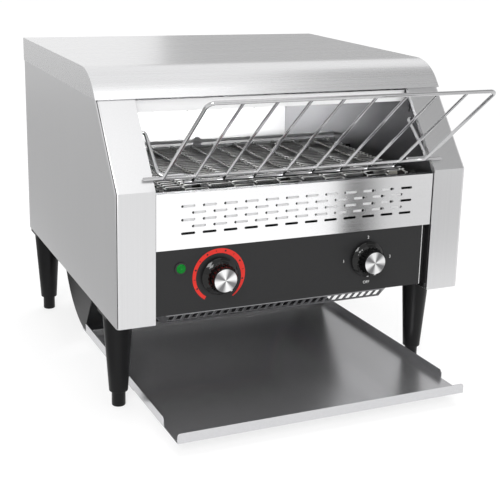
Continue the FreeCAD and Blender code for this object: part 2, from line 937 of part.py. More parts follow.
def drive_shaft():
    left = post_inner_x + shaft_overhang
    right = chain_x + shaft_overhang
    return rod_x(-left, right, rear_shaft_y, shaft_z, shaft_radius)


def shaft_bearings():
    bearings = []
    for y in (front_shaft_y, rear_shaft_y):
        start = wall_x - bearing_flange
        barrel = rod_x(start, start + bearing_length, y, shaft_z, bearing_radius)
        flange = rod_x(start, wall_x, y, shaft_z, bearing_flange_radius)
        bore = rod_x(0, half_width, y, shaft_z, shaft_radius + running_gap)
        right = joined([barrel, flange]).cut(bore)
        bearings += [right, mirror_x(right)]
    return Part.makeCompound(bearings)


# Rails that hold the upper run of the belt level

def belt_supports():
    top = shaft_z + belt_radius - belt_wire_radius - seat_gap
    rod_z_place = top - rail_height / 2
    front = front_shaft_y + rail_rod_inset
    rear = rear_shaft_y - rail_rod_inset
    pieces = [rod_x(-wall_x, wall_x, front, rod_z_place, rail_rod_radius),
              rod_x(-wall_x, wall_x, rear, rod_z_place, rail_rod_radius)]
    for share in rail_share:
        x = share * belt_half_width
        pieces.append(box(x - rail_width / 2, x + rail_width / 2,
                          front - rail_rod_radius, rear + rail_rod_radius, top - rail_height, top))
    return joined(pieces)


# Round rods behind the belt that keep toast off its rear wheels, with a round-topped lug

def rear_guide():
    upper = rod_x(-wall_x, wall_x, guide_rod_y, guide_rod_height, guide_rod_radius)
    lower = rod_x(-wall_x, wall_x, guide_rod_y, guide_rod_height - guide_rod_drop, guide_rod_radius)
    x0 = guide_lug_x - guide_lug_width / 2
    x1 = guide_lug_x + guide_lug_width / 2
    y0 = guide_rod_y - sheet
    y1 = guide_rod_y + sheet
    low = guide_rod_height - guide_rod_drop
    post = box(x0, x1, y0, y1, low, guide_rod_height)
    dome = rod_y(y0, y1, guide_lug_x, guide_rod_height, guide_lug_rise)
    return joined([upper, lower, post, dome])


# Quartz heaters with ceramic ends

def heater_places():
    upper = [(y, upper_heater_height) for y in upper_heater_y]
    lower = [(y, shaft_z) for y in lower_heater_places()]
    return upper, lower


def ceramic_inner_x():
    return post_inner_x + ceramic_outside - ceramic_length


def quartz_tubes(places):
    end = ceramic_inner_x() + ceramic_grip
    tubes = []
    for y, z in places:
        outer = rod_x(-end, end, y, z, heater_radius)
        tubes.append(outer.cut(rod_x(-end - overrun, end + overrun, y, z, heater_radius - heater_wall)))
    return Part.makeCompound(tubes)


def heater_coils():
    upper, lower = heater_places()
    end = ceramic_inner_x() + ceramic_grip
    return Part.makeCompound([rod_x(-end, end, y, z, coil_radius) for y, z in upper + lower])


def ceramic_ends():
    upper, lower = heater_places()
    ends = []
    for y, z in upper + lower:
        outer = rod_x(ceramic_inner_x(), post_inner_x + ceramic_outside, y, z, ceramic_radius)
        socket = rod_x(0, ceramic_inner_x() + ceramic_grip, y, z, heater_radius + ceramic_clearance)
        right = outer.cut(socket)
        ends += [right, mirror_x(right)]
    return Part.makeCompound(ends)


def heater_guard():
    bar_z = heater_guard_height + guard_rod_radius
    rear = drop_front_y
    pieces = [rod_x(-wall_x, wall_x, heater_guard_front, bar_z, guard_bar_radius),
              rod_x(-wall_x, wall_x, rear, bar_z, guard_bar_radius)]
    for index in range(heater_guard_rods):
        x = (index + 1) * 2 * wall_x / (heater_guard_rods + 1) - wall_x
        pieces.append(rod_y(heater_guard_front - guard_bar_radius, rear + guard_bar_radius, x,
                            heater_guard_height, guard_rod_radius))
    return joined(pieces)


# Return chute: a sheet rolled forward between two cheeks

def chute_start_z():
    return tray_floor_z(chute_start_y) - sheet


def chute_corner(radius, top_z):
    tilt = tray_tilt()
    cy = chute_start_y + chute_radius * math.sin(tilt)
    cz = chute_start_z() + chute_radius * math.cos(tilt)
    angle = math.radians(chute_slope)
    end_y = cy + radius * math.sin(angle)
    end_z = cz - radius * math.cos(angle)
    middle = (angle - tilt) / 2
    mid_y = cy + radius * math.sin(middle)
    mid_z = cz - radius * math.cos(middle)
    start_y = cy - radius * math.sin(tilt)
    start_z = cz - radius * math.cos(tilt)
    top_y = end_y + (top_z - end_z) / math.tan(angle)
    return (start_y, start_z), (mid_y, mid_z), (end_y, end_z), (top_y, top_z)


def chute_cheek():
    start, middle, end, top = chute_corner(chute_radius, leg_height)
    x = chute_half_width - sheet
    points = [V(x, y, z) for y, z in (start, middle, end, top)]
    front_top = V(x, cheek_front_top_y, leg_height)
    front_low = V(x, start[0], start[1] + tray_flange_height)
    edges = [Part.Arc(points[0], points[1], points[2]).toShape(),
             Part.makeLine(points[2], points[3]),
             Part.makeLine(points[3], front_top),
             Part.makeLine(front_top, front_low),
             Part.makeLine(front_low, points[0])]
    plate = Part.Face(Part.Wire(edges)).extrude(V(sheet, 0, 0))
    flange_end = leg_rear_y - leg_plate / 2 - seat_gap
    flange = box(x, x + cheek_flange, cheek_front_top_y, flange_end, leg_height - sheet, leg_height)
    return joined([plate, flange])


def chute_sheet():
    outer = chute_radius - chute_sheet_inset
    start, middle, end, top = chute_corner(outer, leg_height - seat_gap)
    in_start, in_middle, in_end, in_top = chute_corner(outer - sheet, leg_height - seat_gap)
    x = sheet - chute_half_width
    tilt = tray_tilt()

    def place(point):
        return V(x, point[0], point[1])

    def lip(point):
        return V(x, point[0] - chute_lip * math.cos(tilt), point[1] + chute_lip * math.sin(tilt))

    edges = [Part.makeLine(lip(start), place(start)),
             Part.Arc(place(start), place(middle), place(end)).toShape(),
             Part.makeLine(place(end), place(top)),
             Part.makeLine(place(top), place(in_top)),
             Part.makeLine(place(in_top), place(in_end)),
             Part.Arc(place(in_end), place(in_middle), place(in_start)).toShape(),
             Part.makeLine(place(in_start), lip(in_start)),
             Part.makeLine(lip(in_start), lip(start))]
    slab = Part.Face(Part.Wire(edges)).extrude(V(2 * (chute_half_width - sheet), 0, 0))
    room = tray_half_width - sheet - seat_gap
    right_clear = box(room, half_width, -overall_depth, tray_rear_y + seat_gap, 0, leg_height)
    return slab.cut([right_clear, mirror_x(right_clear)])


def return_chute():
    cheek = chute_cheek()
    tray_room = box(-half_width, half_width, -overall_depth, tray_rear_y + seat_gap, 0,
                    tray_floor_z(tray_rear_y) + tray_flange_height + seat_gap)
    cheek = cheek.cut(tray_room)
    return joined([chute_sheet(), cheek, mirror_x(cheek)])


# Toast tray: floor, side flanges that stop short of the front, and a raised front lip

def tray_front_y():
    return front_y - tray_reach


def tray_tilt():
    return math.atan2(tray_front_height - tray_rear_height, tray_rear_y - tray_front_y())


def tray_floor_z(y):
    return tray_front_height + sheet - (y - tray_front_y()) * math.tan(tray_tilt())


def toast_tray():
    front = tray_front_y()
    back = tray_rear_y
    x = tray_half_width

    def under(y):
        return tray_floor_z(y) - sheet

    floor_points = [(front, under(front)), (back, under(back)), (back, under(back) + sheet),
                    (front, under(front) + sheet)]
    floor = prism_x(floor_points, -x, x)
    lip = box(-x, x, front, front + sheet, under(front), under(front) + tray_lip_height)
    lip_edges = [edge for edge in lip.Edges if lip_corner_edge(edge, under(front) + tray_lip_height)]
    lip = lip.makeFillet(tray_corner, lip_edges)
    stop = front + tray_flange_stop
    flange_points = [(stop, under(stop)), (back, under(back)), (back, under(back) + tray_flange_height),
                     (stop + tray_corner, under(stop + tray_corner) + tray_flange_height),
                     (stop, under(stop) + tray_flange_height - tray_corner)]
    right = prism_x(flange_points, x - sheet, x)
    return joined([floor, lip, right, mirror_x(right)])


def lip_corner_edge(edge, top):
    ends = [vertex.Point for vertex in edge.Vertexes]
    at_top = all(abs(point.z - top) < seat_gap for point in ends)
    at_side = abs(ends[0].x - ends[-1].x) < seat_gap
    return at_top and at_side


def tray_rails():
    outer = chute_half_width - sheet
    inner = outer - tray_rail_width
    back = tray_rear_y + tray_rail_riser

    def top(y):
        return tray_floor_z(y) - sheet - seat_gap

    front = tray_rail_front_y
    points = [(front, top(front) - tray_rail_height), (back, top(back) - tray_rail_height), (back, top(back)),
              (front, top(front))]
    rail = prism_x(points, inner, outer)
    riser_front = tray_rear_y + 2 * seat_gap
    riser = box(outer - 2 * sheet, outer, riser_front, back,
                top(back) - tray_rail_height, top(back) + riser_rise())
    right = joined([rail, riser])
    return Part.makeCompound([right, mirror_x(right)])


def riser_rise():
    return chute_sheet_inset - sheet


# Feed rack: rods on crossbars, hung from two hooks in the inner walls

def rack_seat():
    lift = rack_bar_radius + seat_gap
    z = rack_seat_height
    return face_y(z, -lift), z


def feed_rack():
    seat_y, seat_z = rack_seat()
    top_y = rack_frame_radius - overall_depth / 2
    top_z = rack_top_height
    run = math.hypot(top_y - seat_y, top_z - seat_z)
    catch_y = seat_y - (top_y - seat_y) * rack_catch_reach / run
    catch_z = seat_z - (top_z - seat_z) * rack_catch_reach / run
    hook_y, hook_z = hook_place()
    seat_end = rack_half_width + rack_bar_overhang
    frame = [V(-rack_half_width, seat_y, seat_z), V(-rack_half_width, top_y, top_z),
             V(rack_half_width, top_y, top_z), V(rack_half_width, seat_y, seat_z)]
    pieces = [rod_x(-seat_end, seat_end, seat_y, seat_z, rack_bar_radius),
              rod_x(-rack_catch_half_width, rack_catch_half_width, catch_y, catch_z, rack_bar_radius),
              bent_rod(frame, [rack_corner, rack_corner], rack_frame_radius)]
    for index in range(1, rack_rods - 1):
        x = (2 * index / (rack_rods - 1) - 1) * rack_half_width
        pieces.append(bar(V(x, catch_y, catch_z), V(x, top_y, top_z), rack_rod_radius))
    pin_end = post_inner_x + sheet
    lift = rack_arm_lift / math.hypot(hook_y - seat_y, hook_z - seat_z)
    foot_y = seat_y + lift * (hook_y - seat_y)
    foot_z = seat_z + lift * (hook_z - seat_z)
    hook = [V(rack_arm_x - rack_arm_foot, foot_y, foot_z), V(rack_arm_x, foot_y, foot_z),
            V(rack_arm_x, hook_y, hook_z), V(pin_end, hook_y, hook_z)]
    arm = bent_rod(hook, [rack_arm_bend, hook_bend], rack_frame_radius)
    return joined(pieces + [arm, mirror_x(arm)])


# Legs and adjustable feet

def leg_places():
    return {"front_left": (-leg_x, leg_front_y), "front_right": (leg_x, leg_front_y),
            "rear_left": (-leg_x, leg_rear_y), "rear_right": (leg_x, leg_rear_y)}


def leg(x, y):
    top = leg_height
    plate_low = top - leg_plate_height
    half = min(leg_plate / 2, housing_rear_y - y, half_width - leg_x)
    plate = box(x - half, x + half, y - half, y + half, plate_low, top)
    sleeve = Part.makeCone(leg_bottom_radius, leg_top_radius, plate_low - foot_exposed, V(x, y, foot_exposed))
    bore_top = foot_exposed + foot_engaged + foot_travel_room
    bore = rod_z(0, bore_top, x, y, foot_radius + running_gap)
    bolt = rod_z(top + sheet - leg_bolt_length, top + overrun, x, y, leg_bolt_radius + screw_hole_gap)
    return joined([plate, sleeve]).cut([bore, bolt])


def foot(x, y):
    body = rod_z(0, foot_exposed + foot_engaged, x, y, foot_radius)
    rim = [edge for edge in body.Edges if abs(edge.CenterOfMass.z) < seat_gap and edge.Closed]
    return body.makeFillet(foot_edge, rim)


def leg_bolts():
    bolts = []
    for x, y in leg_places().values():
        floor_top = leg_height + sheet
        shank = rod_z(floor_top - leg_bolt_length, floor_top, x, y, leg_bolt_radius)
        head = rod_z(floor_top, floor_top + leg_bolt_head_height, x, y, leg_bolt_head_radius)
        bolts.append(joined([shank, head]))
    return Part.makeCompound(bolts)


def leg_bolt_holes():
    return [rod_z(0, leg_height + overrun, leg_x, y, leg_bolt_radius + screw_hole_gap)
            for y in (leg_front_y, leg_rear_y)]


# Knobs, their caps and what they turn

def knob(x):
    back = control_front_y - knob_lift
    face = back - knob_height
    seat_radius = cap_radius + cap_clearance
    profile = [(0, 0), (knob_skirt_radius, 0), (knob_skirt_radius, knob_skirt_height),
               (knob_shoulder_radius, knob_shoulder_height), (knob_front_radius, knob_height),
               (seat_radius, knob_height), (seat_radius, knob_height - cap_recess),
               (0, knob_height - cap_recess)]
    corners = [V(x + radius, back - rise, knob_height_z) for radius, rise in profile]
    half = Part.Face(Part.makePolygon(corners + corners[:1]))
    turned = half.revolve(V(x, 0, knob_height_z), V(0, 1, 0), full_turn)
    flutes = []
    for index in range(knob_flutes):
        angle = 2 * math.pi * index / knob_flutes
        reach = knob_shoulder_radius + knob_flute_radius / 2
        flutes.append(rod_y(face - overrun, back - knob_shoulder_height, x + reach * math.cos(angle),
                            knob_height_z + reach * math.sin(angle), knob_flute_radius))
    spindle = rod_y(back, control_back_y + spindle_depth, x, knob_height_z, spindle_radius)
    return joined([turned.cut(flutes), spindle])


def knob_cap(x):
    seat = control_front_y - knob_lift - knob_height + cap_recess
    return rod_y(seat - cap_thickness, seat, x, knob_height_z, cap_radius)


def spindle_bush(x):
    return rod_y(control_front_y, control_back_y, x, knob_height_z, bush_radius)


def spindle_bore(x):
    return rod_y(front_y - overrun, control_back_y + spindle_depth + seat_gap, x, knob_height_z,
                 spindle_radius + running_gap)


def speed_control():
    x = colour_knob_x
    y = control_back_y
    body = rod_y(y, y + control_body_depth, x, knob_height_z, control_body_radius)
    board_y = y + control_body_depth
    board = box(x - board_width / 2, x + board_width / 2, board_y, board_y + board_sheet,
                knob_height_z - board_height / 2, knob_height_z + board_height / 2)
    return joined([body, board, spindle_bush(x)]).cut(spindle_bore(x))


def selector_switch():
    x = selector_knob_x
    y = control_back_y
    body = box(x - switch_size / 2, x + switch_size / 2, y, y + switch_depth,
               knob_height_z - switch_size / 2, knob_height_z + switch_size / 2)
    return joined([body, spindle_bush(x)]).cut(spindle_bore(x))


def pilot_lens():
    face = control_front_y - lamp_lens_height
    rim_y = control_front_y - lamp_bezel_height
    bezel = rod_y(rim_y, control_front_y, lamp_x, lamp_z, lamp_bezel_radius)
    dome = rod_y(face, rim_y, lamp_x, lamp_z, lamp_radius)
    front_rim = min([edge for edge in dome.Edges if edge.Closed], key=lambda edge: edge.CenterOfMass.y)
    return joined([bezel, dome.makeFillet(lamp_radius / 3, [front_rim])])


def pilot_body():
    return rod_y(control_front_y, control_front_y + lamp_body_depth, lamp_x, lamp_z, lamp_body_radius)


# Crescent printed round the colour knob, with open dots and ticks

def scale_point(angle, radius, y):
    turn = math.radians(angle)
    return V(colour_knob_x + radius * math.sin(turn), y, knob_height_z + radius * math.cos(turn))


def colour_scale():
    y = control_front_y
    start = scale_start_angle
    full = scale_full_angle
    end = scale_end_angle
    outer = scale_outer_radius
    start_inner = outer - scale_start_width
    full_inner = outer - scale_full_width
    tail_inner = outer - scale_tail_width
    rising = outer - (scale_start_width + scale_full_width) / 2
    falling = outer - (scale_full_width + scale_tail_width) / 2
    edges = [Part.Arc(scale_point(start, outer, y), scale_point((start + end) / 2, outer, y),
                      scale_point(end, outer, y)).toShape(),
             Part.makeLine(scale_point(end, outer, y), scale_point(end, tail_inner, y)),
             Part.Arc(scale_point(end, tail_inner, y), scale_point((end + full) / 2, falling, y),
                      scale_point(full, full_inner, y)).toShape(),
             Part.Arc(scale_point(full, full_inner, y), scale_point((start + full) / 2, rising, y),
                      scale_point(start, start_inner, y)).toShape(),
             Part.makeLine(scale_point(start, start_inner, y), scale_point(start, outer, y))]
    crescent = Part.Face(Part.Wire(edges)).extrude(V(0, -scale_thickness, 0))
    marks = [scale_tick(angle, outer - scale_dot_inset) for angle in scale_tick_angles]
    for angle in scale_dot_angles:
        centre = scale_point(angle, outer - scale_dot_inset, y)
        marks.append(rod_y(y - overrun, y + overrun, centre.x, centre.z, scale_dot_radius))
    return crescent.cut(marks)


def scale_tick(angle, reach):
    half = scale_tick_width / 2
    tick = box(-half, half, control_front_y - overrun, control_front_y + overrun,
               reach - scale_tick_length / 2, reach + scale_tick_length / 2)
    tick.rotate(V(0, 0, 0), V(0, 1, 0), angle)
    tick.translate(V(colour_knob_x, 0, knob_height_z))
    return tick


# Chain drive from the gear motor to the rear shaft

def chain_numbers():
    pitch = chain_pitch_wanted
    links = 0
    for step in range(chain_fit_steps):
        loop = Loop(rear_shaft_y, shaft_z, driven_teeth * pitch / (2 * math.pi),
                    motor_y, motor_z, motor_teeth * pitch / (2 * math.pi))
        if links == 0:
            links = round(loop.length / pitch)
        pitch = loop.length / links
    return pitch, links, loop


chain_pitch, chain_links, chain_loop = chain_numbers()


def drive_chain():
    pieces = []
    half = chain_roller_width / 2
    for x in (chain_x - half - chain_plate, chain_x + half):
        pieces.append(chain_loop.band(chain_plate_height, x, chain_plate))
    for index in range(chain_links):
        y, z = chain_loop.point(index * chain_pitch)
        pieces.append(rod_x(chain_x - half, chain_x + half, y, z, chain_roller_radius))
    return joined(pieces)


def chain_wheel(which, teeth, y, z):
    radius = teeth * chain_pitch / (2 * math.pi)
    root = radius - chain_roller_radius - seat_gap
    tooth = chain_pitch - 2 * chain_roller_radius - 2 * seat_gap
    return toothed_wheel(chain_x - chain_sprocket_width / 2, chain_sprocket_width, y, z, root,
                         radius + chain_tooth_rise, teeth, tooth, chain_loop.tooth_angle(which, chain_pitch))


def driven_sprocket():
    bore = rod_x(0, half_width, rear_shaft_y, shaft_z, shaft_radius)
    return chain_wheel(1, driven_teeth, rear_shaft_y, shaft_z).cut(bore)


def motor_sprocket():
    wheel = chain_wheel(2, motor_teeth, motor_y, motor_z)
    start = wall_x - gearbox_length / 2
    shaft = rod_x(start, chain_x + shaft_overhang / 2, motor_y, motor_z, motor_shaft_radius)
    return joined([wheel, shaft])


def gear_motor():
    half = gearbox_size / 2
    x1 = wall_x
    x0 = x1 - gearbox_length
    box_solid = box(x0, x1, motor_y - half, motor_y + half, motor_z - half, motor_z + half)
    can = rod_x(x0 - motor_length, x0, motor_y, motor_z, motor_radius)
    bore = rod_x(wall_x - gearbox_length / 2 - seat_gap, half_width, motor_y, motor_z,
                 motor_shaft_radius + running_gap)
    foot_low = base_z + sheet
    foot_block = box(x0, x1, motor_y - half, motor_y + half, foot_low, motor_z - half)
    return joined([box_solid, can, foot_block]).cut(bore)


# Cooling fan over the grille in the base pan

def fan_frame():
    z0 = base_z + sheet
    z1 = z0 + fan_depth
    half = fan_size / 2
    frame = box(fan_x - half, fan_x + half, fan_y - half, fan_y + half, z0, z1)
    bore = rod_z(z0 - overrun, z1 + overrun, fan_x, fan_y, fan_bore_radius)
    hub = rod_z(z0, z0 + fan_base, fan_x, fan_y, fan_hub_radius)
    pin = rod_z(z0, z1 - fan_base, fan_x, fan_y, fan_pin_radius)
    along = box(fan_x - half, fan_x + half, fan_y - fan_strut / 2, fan_y + fan_strut / 2, z0, z0 + fan_strut)
    across = box(fan_x - fan_strut / 2, fan_x + fan_strut / 2, fan_y - half, fan_y + half, z0, z0 + fan_strut)
    return joined([frame.cut(bore), hub, pin, along, across])


def fan_rotor():
    z0 = base_z + sheet + fan_base + seat_gap
    z1 = base_z + sheet + fan_depth - sheet
    hub = rod_z(z0, z1, fan_x, fan_y, fan_hub_radius)
    reach = fan_bore_radius - fan_blade_gap
    middle = (z0 + z1) / 2
    height = (z1 - z0) / math.cos(math.radians(fan_blade_lean))
    pieces = [hub]
    for index in range(fan_blades):
        blade = box(0, reach, -fan_blade_sheet / 2, fan_blade_sheet / 2, -height / 2, height / 2)
        blade.rotate(V(0, 0, 0), V(1, 0, 0), fan_blade_lean)
        blade.rotate(V(0, 0, 0), V(0, 0, 1), index * full_turn / fan_blades)
        blade.translate(V(fan_x, fan_y, middle))
        pieces.append(blade)
    limit = rod_z(z0, z1, fan_x, fan_y, reach)
    bore = rod_z(z0 - overrun, z1 - sheet, fan_x, fan_y, fan_pin_radius + running_gap)
    return joined(pieces).common(limit).cut(bore)


# Wiring fittings

def terminal_block():
    z0 = base_z + sheet
    half_length = terminal_length / 2
    half_depth = terminal_depth / 2
    block = box(terminal_x - half_length, terminal_x + half_length, terminal_y - half_depth,
                terminal_y + half_depth, z0, z0 + terminal_height)
    holes = []
    for index in range(terminal_ways):
        x = terminal_x + ((index + 0.5) / terminal_ways - 0.5) * terminal_length
        holes.append(rod_z(z0 + terminal_height / 2, z0 + terminal_height + overrun, x, terminal_y,
                           terminal_hole_radius))
    return block.cut(holes)


def thermostat():
    wall = -post_inner_x
    return rod_x(wall - thermostat_height, wall, thermostat_y, thermostat_z, thermostat_radius)


def cable_gland():
    low = leg_height
    high = leg_height + sheet
    barrel = rod_z(low - gland_outside, high + gland_inside, gland_x, gland_y, gland_body_radius)
    outer_nut = rod_z(low - gland_nut_height, low, gland_x, gland_y, gland_nut_radius)
    inner_nut = rod_z(high, high + gland_nut_height, gland_x, gland_y, gland_nut_radius)
    seal_top = low - gland_seal_drop
    bore = rod_z(0, seal_top, gland_x, gland_y, gland_bore_radius)
    throat = rod_z(seal_top, overall_height, gland_x, gland_y, gland_throat_radius)
    return joined([barrel, outer_nut, inner_nut]).cut([bore, throat])


def all_parts():
    upper, lower = heater_places()
    parts = {
        "top_cover": top_cover(),
        "side_housing_left": side_housing(-1),
        "side_housing_right": side_housing(1),
        "inner_wall_left": inner_wall(-1),
        "inner_wall_right": inner_wall(1),
        "rear_panel": rear_panel(),
        "rear_rail": rear_rail(),
        "rear_screws": rear_screws(),
        "chamber_rear_wall": chamber_rear_wall(),
        "base_pan": base_pan(),
        "heat_shield": heat_shield(),
        "upper_reflector": upper_reflector(),
        "hood_strip": hood_strip(),
        "vent_panel": vent_panel(),
        "control_panel": control_panel(),
        "lower_guard": lower_guard(),
        "conveyor_belt": conveyor_belt(),
        "drive_shaft": drive_shaft(),
        "idler_shaft": idler_shaft(),
        "drive_sprockets": belt_sprockets(2),
        "idler_sprockets": belt_sprockets(1),
        "shaft_bearings": shaft_bearings(),
        "belt_supports": belt_supports(),
        "rear_guide": rear_guide(),
        "upper_heater_tubes": quartz_tubes(upper),
        "lower_heater_tubes": quartz_tubes(lower),
        "heater_coils": heater_coils(),
        "ceramic_ends": ceramic_ends(),
        "heater_guard": heater_guard(),
        "return_chute": return_chute(),
        "toast_tray": toast_tray(),
        "tray_rails": tray_rails(),
        "feed_rack": feed_rack(),
        "leg_bolts": leg_bolts(),
        "colour_knob": knob(colour_knob_x),
        "colour_knob_cap": knob_cap(colour_knob_x),
        "selector_knob": knob(selector_knob_x),
        "selector_knob_cap": knob_cap(selector_knob_x),
        "speed_control": speed_control(),
        "selector_switch": selector_switch(),
        "pilot_lens": pilot_lens(),
        "pilot_body": pilot_body(),
        "colour_scale": colour_scale(),
        "drive_chain": drive_chain(),
        "driven_sprocket": driven_sprocket(),
        "motor_sprocket": motor_sprocket(),
        "gear_motor": gear_motor(),
        "fan_frame": fan_frame(),
        "fan_rotor": fan_rotor(),
        "terminal_block": terminal_block(),
        "thermostat": thermostat(),
        "cable_gland": cable_gland(),
    }
    for name, (x, y) in leg_places().items():
        parts["leg_" + name] = leg(x, y)
        parts["foot_" + name] = foot(x, y)
    return parts


os.makedirs("parts", exist_ok=True)
for node, shape in all_parts().items():
    shape.exportStep("parts/" + node + ".step")
    print(node, len(shape.Solids), shape.isValid())
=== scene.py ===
import json
import math

import bmesh
import bpy
from mathutils import Matrix, Vector


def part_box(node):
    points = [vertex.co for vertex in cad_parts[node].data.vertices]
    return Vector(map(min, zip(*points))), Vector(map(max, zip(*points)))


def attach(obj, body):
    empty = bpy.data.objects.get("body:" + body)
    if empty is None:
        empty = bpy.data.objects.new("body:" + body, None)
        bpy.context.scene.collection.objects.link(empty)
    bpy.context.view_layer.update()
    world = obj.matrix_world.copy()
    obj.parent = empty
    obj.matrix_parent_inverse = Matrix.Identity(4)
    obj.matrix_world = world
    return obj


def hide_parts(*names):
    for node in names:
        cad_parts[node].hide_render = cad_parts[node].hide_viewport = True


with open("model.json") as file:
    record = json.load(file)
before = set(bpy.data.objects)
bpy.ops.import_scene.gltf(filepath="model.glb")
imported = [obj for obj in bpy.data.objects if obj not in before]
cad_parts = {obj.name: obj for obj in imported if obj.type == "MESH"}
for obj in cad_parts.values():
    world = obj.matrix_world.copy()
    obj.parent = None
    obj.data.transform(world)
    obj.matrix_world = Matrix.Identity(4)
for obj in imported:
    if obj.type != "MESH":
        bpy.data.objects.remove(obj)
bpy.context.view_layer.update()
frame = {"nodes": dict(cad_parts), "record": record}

MM = 0.001

# Camera, read from the photograph's perspective: the frame is 500 pixels square
frame_pixels = 500
sensor_mm = 36.0
focal_pixels = 1056.4
centre_column = 275.3
centre_row = 219.7
camera_place_mm = (-557.8, -1278.0, 576.6)
camera_yaw = 25.165
camera_pitch = 15.279
camera_roll = 1.728

# Belt, in millimetres: wires with hooks, each section of a wire half a pitch behind the next
belt_wires = 54
belt_wire_radius = 0.9
belt_wire_sides = 6
belt_wheel_radius = 16.61
belt_half_width = 170.0
belt_hook_share = (-0.98, -0.84, -0.64, -0.46, -0.28, -0.10, 0.10, 0.28, 0.46, 0.64, 0.84, 0.98)
belt_hook_half = 3.0
belt_hook_lift = 1.2
belt_stagger = 0.5
wheel_steps = 28

# Shape of one hook: shares across it, along the belt in pitches, and out of the belt
hook_shape = ((-1.15, 0.0, 0.0), (-1.0, 0.0, 0.0), (-0.75, 0.3, -0.75), (-0.5, 1.0, -1.0),
              (-0.32, 1.19, -0.45), (0.32, 1.19, 0.45), (0.5, 1.0, 1.0), (0.75, 0.3, 0.75),
              (1.0, 0.0, 0.0), (1.15, 0.0, 0.0))

# Heater coils, in millimetres
coil_pitch = 3.0
coil_wire = 0.45
coil_wire_sides = 5
coil_turn_points = 10

# Knobs, caps, lamp and screws: shares of (radius, height), and steps round them
skirt_share = [(0.0, 0.0), (0.98, 0.0), (1.0, 0.02), (1.0, 0.09), (0.965, 0.13), (0.86, 0.19), (0.765, 0.26)]
grip_share = [(0.730, 0.36), (0.720, 0.40), (0.713, 0.48), (0.700, 0.64), (0.688, 0.80), (0.672, 0.93)]
rim_share = [(0.668, 0.965), (0.655, 0.995), (0.640, 1.0), (0.630, 0.985), (0.625, 0.965), (0.0, 0.965)]
cap_share = [(0.0, 0.0), (0.97, 0.0), (1.0, 0.25), (1.0, 0.7), (0.97, 1.0), (0.93, 1.0), (0.0, 0.72)]
bezel_share = [(0.70, 0.0), (1.0, 0.0), (1.0, 0.22), (0.97, 0.40), (0.90, 0.46), (0.78, 0.46), (0.76, 0.2)]
lens_share = [(0.0, 0.0), (0.76, 0.0), (0.76, 0.50), (0.72, 0.70), (0.64, 0.86),
              (0.60, 0.72), (0.55, 0.93), (0.47, 0.93), (0.42, 0.72), (0.37, 0.93), (0.29, 0.93),
              (0.24, 0.72), (0.19, 0.93), (0.11, 0.93), (0.0, 0.97)]
head_share = [(0.43, 0.0), (1.0, 0.0), (1.0, 0.35), (0.93, 0.62), (0.78, 0.84), (0.55, 0.96), (0.0, 1.0)]
shank_share = 0.42
screw_head = 2.0
knob_steps = 144
cap_steps = 96
lamp_steps = 64
screw_steps = 24
spindle_steps = 32
spindle_radius = 3.0
knob_flutes = 18
knob_flute_depth = 0.9
knob_clearance = 0.6

# Prints, in millimetres; the font's size is larger than the height of its figures
pointer_width = 2.3
print_thickness = 0.12
number_height = 3.8
font_size_share = 1.4

# Painted reflection rays and bumped rings of the spun caps
painted_ray_count = 4.0
painted_ray_turn = 0.6
painted_ray_wave = 0.8
spun_ring = 0.5

# Where a finish changes along its piece, in millimetres
# Band along the control panel's right end edge that is painted as a highlight
painted_highlight_edge = (175.5, 176.7)
# Depth of the heat shield's front fold, which keeps the bright lit copy of its sheet
fold_depth = 1.5
# Painted shade on the chamber's side walls: dark at the front depth, light at the rear depth
wall_shade_depth = (-30.0, 280.0)
seam_depth = 2.5
# Painted shadow under the belt on the rear wall: the heights over which it fades in
rear_shadow_height = (236.0, 262.0)
# Painted shade on the belt: over this depth its tone falls to this share
belt_shade_depth = (-120.0, 60.0)
belt_shade_share = 0.45

# Merging of the CAD's loose triangles: distance in millimetres, and angles in degrees
merge_distance = 0.002
flat_angle = 0.2
turned_angle = 38.0
bevel_angle = 40.0


# Small helpers

def linear(hexcode):
    """An sRGB hex colour as linear red, green, blue and alpha."""
    def channel(text):
        value = int(text, 16) / 255
        return value / 12.92 if value <= 0.04045 else ((value + 0.055) / 1.055) ** 2.4
    return tuple(channel(hexcode[i:i + 2]) for i in (0, 2, 4)) + (1.0,)


def add(tree, kind, sockets=None, **settings):
    """Adds a node. Each socket named gets a link from another node's socket, or a value."""
    node = tree.nodes.new(kind)
    for key, value in settings.items():
        setattr(node, key, value)
    for name, value in (sockets or {}).items():
        if isinstance(value, bpy.types.NodeSocket):
            tree.links.new(value, node.inputs[name])
        else:
            node.inputs[name].default_value = value
    return node


def new_material(name):
    material = bpy.data.materials.new(name)
    material.use_nodes = True
    material.node_tree.nodes.clear()
    return material, material.node_tree


def finished(material, shader):
    add(material.node_tree, "ShaderNodeOutputMaterial", {"Surface": shader.outputs[0]})
    return material


def centre_of(node):
    low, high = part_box(node)
    return (Vector(low) + Vector(high)) / 2


def grained(tree, spacing_mm):
    """Noise whose grain has its own spacing along X, Y and Z of the object, and the place along each."""
    place = add(tree, "ShaderNodeTexCoord").outputs["Object"]
    scale = tuple(1 / (spacing * MM) for spacing in spacing_mm)
    mapping = add(tree, "ShaderNodeMapping", {"Vector": place, "Scale": scale})
    noise = add(tree, "ShaderNodeTexNoise", {"Vector": mapping.outputs[0], "Scale": 1.0, "Detail": 4.0})
    return noise.outputs[0], add(tree, "ShaderNodeSeparateXYZ", {0: place}).outputs


